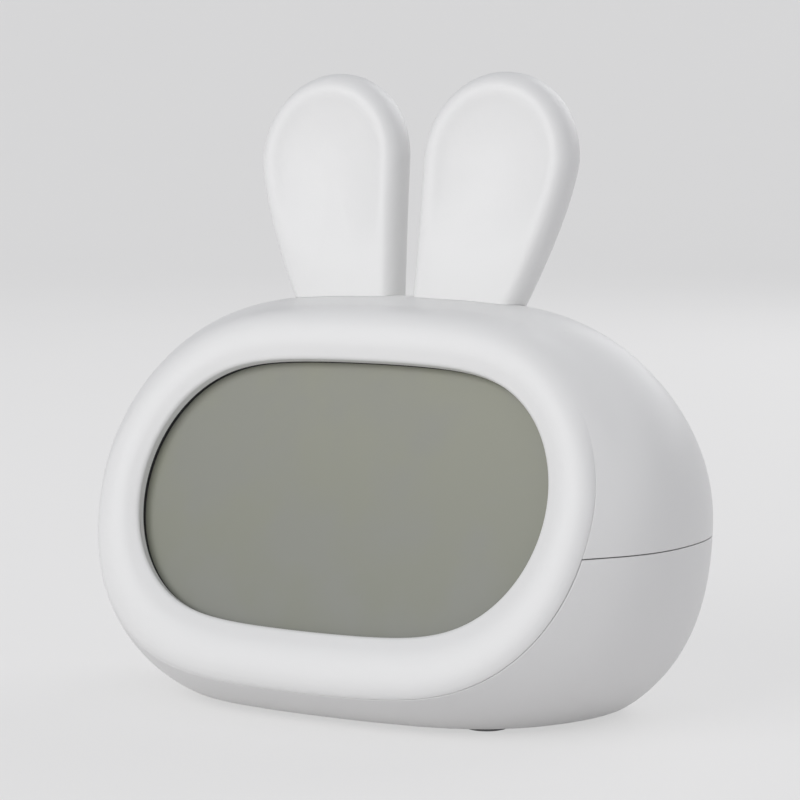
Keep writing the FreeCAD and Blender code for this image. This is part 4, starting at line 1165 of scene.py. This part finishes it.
def make_springs():
    """Both springs as one mesh, at opposite ends of their rows."""
    tree = make_coil_tree()
    both = []
    for side, row in zip((-1.0, 1.0), CELL_ROWS):
        place = (side * (SPRING_END - SPRING_WIRE) * MM, CELL_Y * MM, row * MM)
        both.append(run_tree(tree, "spring", **{
            "Turns": SPRING_TURNS, "Base Radius": SPRING_BASE * MM, "Tip Radius": SPRING_TIP * MM,
            "Wire Radius": SPRING_WIRE * MM, "Length": (SPRING_LENGTH - 2 * SPRING_WIRE) * MM,
            "Place": place, "Direction": -side}))
    springs = add_object("battery_spring_coils", bpy.data.meshes.new("springs"))
    bm = bmesh.new()
    for spring in both:
        bm.from_mesh(spring.data)
    bm.to_mesh(springs.data)
    bm.free()
    remove(*both)
    return smooth(tidy(springs), 60)


springs = make_springs()
print("springs:", len(springs.data.polygons), "faces")

# %% [markdown]
# ## The ears
# Each ear is a hollow moulding like the bowl of a long spoon: a rounded rim, a shallow scoop in
# front and a full round back. It could be sculpted from a subdivided box, but its outline and its
# section are both simple rules, so it is a stack of rings again: each ring is the outline drawn
# smaller, pushed forwards or back by the section. The left ear is the right one mirrored.

# %% Driving sizes of an ear, from the middle of the window
EAR_HALF_WIDTH = 20.7
EAR_WIDEST = 80.3
EAR_DOME = 22.08
EAR_STEM = 48.1
EAR_BASE = 45.6
EAR_OUT = 23.9
EAR_BASE_OUT = 17.5
EAR_BASE_HALF_WIDTH = 15.6
EAR_TAPER = 1.4
EAR_BACK = 35.8
EAR_LEAN = radians(6.4)
EAR_HALF_THICKNESS = 6.7
EAR_AROUND = 160
EAR_RINGS = 90
# The scoop starts this far above the base and is full this far below the widest place
SCOOP_START = 5.0
SCOOP_FULL = 4.0
# Share of the outline, depth in the scoop, depth on the stem, from the front round to the back
EAR_FRONT = [(0.0, -0.46, -0.94), (0.12, -0.46, -0.94), (0.32, -0.52, -0.94),
             (0.52, -0.64, -0.94), (0.68, -0.78, -0.93)]
# From here on, and in the whole hollow, the depth is the same in the scoop and on the stem
EAR_ROUND = [(0.81, -0.89), (0.885, -0.84), (0.945, -0.66), (0.985, -0.40), (1.0, -0.05),
             (0.975, 0.42), (0.90, 0.70), (0.75, 0.88), (0.50, 0.97), (0.12, 1.0), (0.0, 1.0)]
EAR_INSIDE = [(0.0, -0.10), (0.30, -0.10), (0.55, -0.22), (0.74, -0.46), (0.84, -0.42),
              (0.895, -0.05), (0.84, 0.40), (0.70, 0.60), (0.45, 0.68), (0.0, 0.69)]
EAR_SECTION = np.array(EAR_FRONT + [(share, depth, depth) for share, depth in EAR_ROUND])
EAR_HOLLOW = np.array([(share, depth, depth) for share, depth in EAR_INSIDE])
print("ear height over its seat, mm:", round(EAR_WIDEST + EAR_DOME - EAR_BASE, 1))


def soften(value, edge):
    """The same rule as soften_value, for plain numbers."""
    return value * np.sqrt(1 + edge * edge) / np.sqrt(value * value + edge * edge)


def ear_outline():
    """The outline as (across, up): a dome above the widest place and a narrowing stem below."""
    turn = 2 * pi * np.arange(EAR_AROUND) / EAR_AROUND
    across = np.cos(turn)
    rise = np.sin(turn)
    drop = EAR_STEM * soften(np.maximum(-rise, 0), 0.8)
    taper = (drop / (EAR_WIDEST - EAR_BASE)) ** EAR_TAPER
    half = EAR_HALF_WIDTH - (EAR_HALF_WIDTH - EAR_BASE_HALF_WIDTH) * taper
    middle = EAR_OUT - (EAR_OUT - EAR_BASE_OUT) * taper
    stem = middle + half * soften(across, 0.25 + 0.75 * (1 + rise) ** 2)
    dome = EAR_OUT + EAR_HALF_WIDTH * across
    x = np.where(rise > 0, dome, stem)
    z = np.where(rise > 0, EAR_WIDEST + EAR_DOME * rise, EAR_WIDEST - drop)
    return x, z


def scoop_share(up):
    """How much of the scoop there is at a height: none low on the stem, all at the widest place."""
    low = EAR_BASE + SCOOP_START
    return ease((up - low) / (EAR_WIDEST - SCOOP_FULL - low))


def ear_solid(section, rings, side):
    """A closed ear, from a section and the number of its rings."""
    knots = chords(section[:, :2] * (EAR_HALF_WIDTH, EAR_HALF_THICKNESS))
    profile = spline(knots, section, np.linspace(0, knots[-1], rings))
    x, z = ear_outline()
    rows = []
    for share, deep, flat in profile:
        across = EAR_OUT + (x - EAR_OUT) * share
        up = EAR_WIDEST + (z - EAR_WIDEST) * share
        depth = flat + (deep - flat) * scoop_share(up)
        y = FACE_Y + EAR_BACK + (up - EAR_BASE) * np.tan(EAR_LEAN) + depth * EAR_HALF_THICKNESS
        rows.append(np.stack([side * across, y, FACE_Z + up], axis=1))
    return grid_solid("ear", rows)


# %% Stand the ears on the body
EAR_SOLID_BASE = 8.0
EAR_HOLLOW_RINGS = 40
BODY_MARGIN = 0.05
UNDER_RINGS = 80
EAR_LOWEST = FACE_Z + 30.0


def make_ear(name, side):
    """A hollow ear with a solid foot, cut to the body that it stands on."""
    ear = ear_solid(EAR_SECTION, EAR_RINGS, side)
    floor = FACE_Z + EAR_BASE + EAR_SOLID_BASE
    hollow = ear_solid(EAR_HOLLOW, EAR_HOLLOW_RINGS, side)
    hollow = keep(hollow, box((-FAR, -FAR, floor), (FAR, FAR, FAR)))
    rings = body_rings(np.linspace(0, BODY_LENGTH, UNDER_RINGS), -BODY_MARGIN)
    ear = cut(ear, hollow, grid_solid("under", sweep_points(closed(rings))))
    ear = cut(ear, box((-FAR, -FAR, -FAR), (FAR, FAR, EAR_LOWEST)))
    ear.name = name
    return smooth(ear, 40)


ears = {name: make_ear(name, side) for name, side in (("left_ear_skin", -1), ("right_ear_skin", 1))}
for name, ear in ears.items():
    print(name, len(ear.data.polygons), "faces")

# %% [markdown]
# ## Finishes
# Nearly everything outside is one satin white moulded plastic. Up close such a wall isn't one flat
# colour: the mould leaves a very fine grain, the gloss drifts a little over the surface, and
# handling greys it slightly. A texture could be painted, but the export wants patterns that follow
# the object, so each finish is made from noise on Object coordinates. One function builds the
# common kind, and each finish gives only its own numbers.

# %% The common finish
def mix_colour(tree, share, first, second):
    """A mix of two colours; gives its result."""
    node = add_node(tree, "ShaderNodeMix", data_type="RGBA")
    colours = [slot for slot in node.inputs if slot.type == "RGBA"]
    tree.links.new(share.socket if isinstance(share, Value) else share, node.inputs[0])
    for slot, item in zip(colours, (first, second)):
        if isinstance(item, bpy.types.NodeSocket):
            tree.links.new(item, slot)
        else:
            slot.default_value = item
    return [slot for slot in node.outputs if slot.type == "RGBA"][0]


def shade(colour, share):
    """A colour made lighter or darker, as four channels."""
    return [min(1.0, channel * share) for channel in colour] + [1.0]


def start_material(name):
    """An empty material, its tree and the place on the object."""
    material = bpy.data.materials.new(name)
    material.use_nodes = True
    tree = material.node_tree
    tree.nodes.clear()
    place = add_node(tree, "ShaderNodeTexCoord").outputs["Object"]
    return material, tree, place


def end_material(material, tree, colour, roughness, normal=None, **settings):
    """The shader itself. What is the same all over is set on its own socket."""
    inputs = {"Base Color": colour, "Roughness": roughness}
    if normal is not None:
        inputs["Normal"] = normal
    inputs.update({key.replace("_", " "): value for key, value in settings.items()})
    body = add_node(tree, "ShaderNodeBsdfPrincipled", inputs)
    add_node(tree, "ShaderNodeOutputMaterial", {"Surface": body.outputs[0]})
    return material


BUMP_DEPTH = 0.0002


def noise(tree, place, size, detail=2.0):
    """Noise on the object. The size is in patterns per metre."""
    return add_node(tree, "ShaderNodeTexNoise",
                    {"Vector": place, "Scale": size, "Detail": detail}).outputs[0]


def bump(tree, height, strength):
    return add_node(tree, "ShaderNodeBump", {
        "Height": height, "Strength": strength, "Distance": BUMP_DEPTH}).outputs[0]


def grain_bump(tree, place, size, strength):
    return bump(tree, noise(tree, place, size), strength)


def drift(tree, value, low, high):
    """Turns noise, which mostly lies from 0.3 to 0.7, into a number between two ends."""
    return add_node(tree, "ShaderNodeMapRange", {
        "Value": value, "From Min": 0.3, "From Max": 0.7, "To Min": low, "To Max": high}).outputs[0]


def plain_finish(name, colour, roughness, mottle=0.03, mottle_size=60.0,
                 grain=0.05, grain_size=2600.0, drift_by=0.05, **settings):
    """Drifting colour and gloss with a fine grain. Sizes are patterns per metre."""
    material, tree, place = start_material(name)
    broad = noise(tree, place, mottle_size, 3.0)
    tint = mix_colour(tree, broad, shade(colour, 1 - mottle), shade(colour, 1 + mottle))
    gloss = drift(tree, broad, roughness - drift_by, roughness + drift_by)
    fine = grain_bump(tree, place, grain_size, grain)
    return end_material(material, tree, tint, gloss, fine, **settings)


SHELL = plain_finish("satin white plastic", (0.80, 0.80, 0.79), 0.42, mottle=0.012,
                     mottle_size=35.0, grain=0.06, grain_size=2200.0, drift_by=0.03,
                     Specular_IOR_Level=0.4)
print("shell finish made")


# %% [markdown]
# ## Finishes of the other pieces
# The rest are smaller surfaces, most of them inside: coated steel, green board, rubber, foam,
# paper, clear acrylic. Each differs from the common finish only in its numbers, so they stand in
# one table. Four need a pattern of their own: the display, the boards, the striped contact strip
# and the sleeves of the cells, which are plain but for a paler band.

# %% Finishes that differ only in numbers
def metal(name, colour, roughness, grain=0.12):
    return plain_finish(name, colour, roughness, mottle=0.05, mottle_size=90.0, grain=grain,
                        grain_size=1400.0, Metallic=1.0)


def rubbery(name, colour, roughness, grain=0.3):
    return plain_finish(name, colour, roughness, mottle=0.12, mottle_size=140.0, grain=grain,
                        grain_size=1800.0, Specular_IOR_Level=0.3)


def plastic(name, colour, roughness, **more):
    return plain_finish(name, colour, roughness, mottle=0.04, mottle_size=80.0, **more)


FINISHES = {
    "shell_plastic": SHELL,
    "key_plastic": plastic("key plastic", (0.70, 0.70, 0.70), 0.36, grain=0.04),
    "screw_steel": metal("plated screw steel", (0.62, 0.62, 0.64), 0.32),
    "display_glass": plastic("thin glass", (0.62, 0.66, 0.60), 0.08, grain=0.0, drift_by=0.02,
                             Transmission_Weight=0.9, IOR=1.5),
    "gasket_foam": rubbery("black foam", (0.025, 0.025, 0.026), 0.85, grain=0.6),
    "white_film": plastic("white film", (0.86, 0.86, 0.84), 0.6),
    "light_guide_acrylic": plastic("clear acrylic", (0.88, 0.92, 0.91), 0.07, grain=0.02,
                                   drift_by=0.02, Transmission_Weight=0.85, IOR=1.49),
    "led_white": plastic("lamp body", (0.88, 0.86, 0.72), 0.3),
    "frame_plastic": plastic("white frame plastic", (0.78, 0.78, 0.76), 0.5),
    "chip_black": plastic("black moulded resin", (0.028, 0.028, 0.03), 0.5, grain=0.25),
    "can_metal": metal("drawn can metal", (0.70, 0.70, 0.71), 0.28),
    "connector_plastic": plastic("cream connector plastic", (0.75, 0.70, 0.58), 0.45),
    "speaker_paper": rubbery("pressed cone paper", (0.05, 0.048, 0.045), 0.9, grain=0.8),
    "spring_steel": metal("bright spring steel", (0.76, 0.76, 0.77), 0.2, grain=0.05),
    "foot_rubber": rubbery("grey foot rubber", (0.24, 0.24, 0.245), 0.75),
    "wire_red": plastic("red wire cover", (0.50, 0.04, 0.035), 0.42),
    "wire_black": plastic("black wire cover", (0.03, 0.03, 0.03), 0.42),
    "wire_grey": plastic("grey wire cover", (0.45, 0.45, 0.45), 0.42)}
print(len(FINISHES), "finishes so far")

# %% [markdown]
# The display is off. What shows is the grey-green of its front film, with painted shade that makes
# it a little darker towards the bottom, and faintly cloudy.

# %% The display's film
# Heights in metres over which the painted shade turns from darker below to lighter above
PAINTED_SHADE_HEIGHTS = (0.022, 0.088)
CLOUD_SHARE = 0.35


def split(tree, place):
    """The three numbers of a place, as values."""
    parts = add_node(tree, "ShaderNodeSeparateXYZ", {"Vector": place})
    return [Value(tree, parts.outputs[i]) for i in range(3)]


def step_up(value, low, high):
    """0 below low, 1 above high, and a straight ramp between."""
    return Value(value.tree, add_node(value.tree, "ShaderNodeMapRange", {
        "Value": value, "From Min": low, "From Max": high}).outputs[0])


def display_finish():
    material, tree, place = start_material("grey-green display film")
    height = split(tree, place)[2]
    # Painted shade: the film is painted darker towards the bottom and lighter towards the top
    rise = step_up(height, *PAINTED_SHADE_HEIGHTS)
    painted_shade_tone = mix_colour(tree, rise, (0.200, 0.207, 0.166, 1), (0.262, 0.266, 0.208, 1))
    soft = step_up(Value(tree, noise(tree, place, 45.0, 3.0)), 0.42, 0.62)
    colour = mix_colour(tree, soft * CLOUD_SHARE, painted_shade_tone, (0.222, 0.226, 0.216, 1))
    return end_material(material, tree, colour, 0.38, grain_bump(tree, place, 3000.0, 0.05))


FINISHES["display_film"] = display_finish()
print("display film made;", len(FINISHES), "finishes")

# %% [markdown]
# A circuit board is glass cloth under green lacquer, over copper tracks that show as paler lines.
# A brick pattern with thin joints gives runs that stop and turn as tracks do. The contact strip
# between board and glass is sliced from black and pink rubber in turn, as a wave along its length.

# %% Boards, contact strip and cells
TRACKS_PER_METRE = 260.0
TRACK_WIDTH = 0.06
STRIPES_PER_METRE = 320.0
# Along a cell from its spring, in metres from the middle: both ends of the sleeve, and the band
SLEEVE_START = (-0.0187, -0.0184)
SLEEVE_END = (0.0239, 0.0242)
BAND_START = (0.0129, 0.0131)


def board_finish():
    material, tree, place = start_material("green board lacquer")
    x, y, z = split(tree, place)
    flat = add_node(tree, "ShaderNodeCombineXYZ", {"X": x, "Y": z + y * 0.4, "Z": 0.0}).outputs[0]
    tracks = add_node(tree, "ShaderNodeTexBrick", {
        "Vector": flat, "Scale": TRACKS_PER_METRE, "Mortar Size": TRACK_WIDTH}).outputs["Fac"]
    cloud = noise(tree, place, 120.0)
    ground = mix_colour(tree, cloud, (0.018, 0.10, 0.045, 1), (0.026, 0.14, 0.06, 1))
    colour = mix_colour(tree, tracks, ground, (0.07, 0.26, 0.12, 1))
    return end_material(material, tree, colour, 0.35, bump(tree, tracks, 0.25))


def strip_finish():
    material, tree, place = start_material("striped contact rubber")
    wave = add_node(tree, "ShaderNodeTexWave", {"Vector": place, "Scale": STRIPES_PER_METRE})
    stripe = step_up(Value(tree, wave.outputs["Fac"]), 0.45, 0.55)
    colour = mix_colour(tree, stripe, (0.05, 0.05, 0.05, 1), (0.62, 0.25, 0.33, 1))
    return end_material(material, tree, colour, 0.7, grain_bump(tree, place, 1800.0, 0.2))


def cell_finish():
    """Steel ends, a plain green-grey sleeve, and a paler band next to the button end."""
    material, tree, place = start_material("cell sleeve and ends")
    x, y, z = split(tree, place)
    turned = z.math("LESS_THAN", sum(CELL_ROWS) / 2 * MM) * 2.0 - 1.0
    reach = x * turned
    sleeve = step_up(reach, *SLEEVE_START) - step_up(reach, *SLEEVE_END)
    band = step_up(reach, *BAND_START)
    cover = mix_colour(tree, band, (0.16, 0.20, 0.19, 1), (0.52, 0.55, 0.54, 1))
    colour = mix_colour(tree, sleeve, (0.62, 0.62, 0.63, 1), cover)
    rough = add_node(tree, "ShaderNodeMapRange", {
        "Value": sleeve, "To Min": 0.25, "To Max": 0.33}).outputs[0]
    fine = grain_bump(tree, place, 900.0, 0.04)
    return end_material(material, tree, colour, rough, fine, Metallic=0.55)


FINISHES["board_green"] = board_finish()
FINISHES["zebra_rubber"] = strip_finish()
FINISHES["cell_sleeve"] = cell_finish()
print(len(FINISHES), "finishes in all")


# %% Finish every CAD node by its slot
def dress_nodes():
    """Gives every node of the frame the finish of its slot."""
    for row in frame["record"]["subparts"]:
        node = frame["nodes"][row["node"]]
        finish = FINISHES[row["material_slot"]]
        if not node.material_slots:
            node.data.materials.append(finish)
        for place in node.material_slots:
            place.material = finish
    return len(frame["record"]["subparts"])


print(dress_nodes(), "nodes have their finish")


# %% Dress the pieces
def dress(piece, body, slot, *nodes):
    """Gives a piece its slot's finish and its body, and hides the CAD nodes that it stands for."""
    piece.data.materials.clear()
    piece.data.materials.append(FINISHES[slot])
    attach(piece, body)
    if nodes:
        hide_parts(*nodes)


smooth(upper, 30)
smooth(lower, 30)
dress(upper, "housing", "shell_plastic", "upper_shell")
dress(lower, "housing", "shell_plastic", "lower_shell")
for name, ear in ears.items():
    dress(ear, "housing", "shell_plastic", name.replace("_skin", ""))
for name, key in keys.items():
    dress(key, name, "key_plastic", name)
dress(door, "battery_door", "shell_plastic", "battery_door")
dress(feet, "housing", "foot_rubber", "rubber_feet")
dress(springs, "housing", "spring_steel", "battery_springs")
print("pieces dressed:", len([upper, lower, door, feet, springs, *ears, *keys]))

# %% [markdown]
# ## Camera, floor and light
# The photograph was taken a little from the right with a long lens, which keeps the two ears
# nearly equal in size. The camera stands where the perspective of the window says that it stood.
# The key light is a large soft box high in front on the left. A weak one fills the right side, one
# behind parts the clock from its ground, and a low one lights the hollow under the rim. The floor
# curves up all round, and glows a little to the camera alone, so that it looks evenly pale while
# the clock's own light stays as it is.

# %% The camera
CAMERA_TURN = radians(30.0)
CAMERA_PITCH = radians(5.49)
CAMERA_PLACE = (339.4, -581.0, 140.8)
LENS_MM = 122.2
SENSOR_MM = 36.0


def make_camera():
    """A camera that looks along its turn and its pitch."""
    data = bpy.data.cameras.new("camera")
    data.lens = LENS_MM
    data.sensor_width = SENSOR_MM
    camera = add_object("camera", data)
    right = Vector((cos(CAMERA_TURN), sin(CAMERA_TURN), 0))
    ahead = Vector((-sin(CAMERA_TURN) * cos(CAMERA_PITCH),
                    cos(CAMERA_TURN) * cos(CAMERA_PITCH), -sin(CAMERA_PITCH)))
    up = right.cross(ahead)
    turn = Matrix((right, up, -ahead)).transposed().to_4x4()
    turn.translation = Vector(CAMERA_PLACE) * MM
    camera.matrix_world = turn
    bpy.context.scene.camera = camera


make_camera()
print("camera stands, mm:", CAMERA_PLACE)

# %% The floor
FLOOR_FLAT = 2.2
FLOOR_RISE = 1.1
FLOOR_AROUND = 128
FLOOR_BENDS = 13
FLOOR_PALE = (0.84, 0.84, 0.84, 1.0)
FLOOR_GLOW = 0.66


def make_floor():
    """A flat floor whose edge curves up all round, so that no view shows a horizon."""
    bends = np.linspace(0, pi / 2, FLOOR_BENDS)
    profile = [(0, 0)]
    profile += [(FLOOR_RISE * (1 - cos(a)), FLOOR_FLAT + FLOOR_RISE * sin(a)) for a in bends]
    turns = 2 * pi * np.arange(FLOOR_AROUND) / FLOOR_AROUND
    rows = [[(r * cos(t), r * sin(t), z) for t in turns] for z, r in profile]
    floor = smooth(grid_solid("floor", np.array(rows) / MM), 60)
    floor.data.flip_normals()
    floor.data.materials.append(floor_finish())
    return floor


def floor_finish():
    """Pale and dull, and partly glowing to the camera, in mirrors and through clear pieces."""
    material, tree, place = start_material("pale floor")
    cloud = noise(tree, place, 6.0)
    colour = mix_colour(tree, cloud, (0.78, 0.77, 0.77, 1), (0.82, 0.81, 0.81, 1))
    lit = add_node(tree, "ShaderNodeBsdfDiffuse", {"Color": colour})
    glow = add_node(tree, "ShaderNodeEmission", {"Color": FLOOR_PALE, "Strength": 1.0})
    rays = add_node(tree, "ShaderNodeLightPath")
    seen = Value(tree, rays.outputs["Is Camera Ray"])
    for kind in ("Is Glossy Ray", "Is Transmission Ray"):
        seen = seen.math("MAXIMUM", rays.outputs[kind])
    both = add_node(tree, "ShaderNodeMixShader", {
        0: seen * FLOOR_GLOW, 1: lit.outputs[0], 2: glow.outputs[0]})
    add_node(tree, "ShaderNodeOutputMaterial", {"Surface": both.outputs[0]})
    return material


print("floor faces:", len(make_floor().data.polygons))

# %% The lights
def area_light(name, place, target, size, power):
    """A soft box in metres and watts, turned towards its target."""
    data = bpy.data.lights.new(name, "AREA")
    data.shape = "RECTANGLE"
    data.size, data.size_y = size
    data.energy = power
    light = add_object(name, data)
    light.location = place
    light.rotation_euler = (Vector(target) - Vector(place)).to_track_quat("-Z", "Y").to_euler()


area_light("key", (-0.45, -1.4, 0.8), (0, 0, 0.07), (1.3, 1.1), 12.5)
area_light("fill", (1.3, -0.3, 0.5), (0, 0, 0.07), (1.0, 1.0), 1.6)
area_light("back", (0.3, 1.3, 0.9), (0, 0, 0.07), (1.3, 1.0), 8.0)
area_light("low", (0.1, -1.3, 0.14), (0, 0, 0.03), (1.6, 0.2), 1.6)


def make_world():
    """Pale, slightly cool surroundings."""
    world = bpy.data.worlds.new("soft surroundings")
    bpy.context.scene.world = world
    world.use_nodes = True
    tree = world.node_tree
    tree.nodes.clear()
    background = add_node(tree, "ShaderNodeBackground", {
        "Color": (0.93, 0.94, 1.0, 1.0), "Strength": 0.42})
    add_node(tree, "ShaderNodeOutputWorld", {"Surface": background.outputs[0]})


make_world()
bpy.context.scene.view_settings.view_transform = "Standard"
print("lights:", len(bpy.data.lights))
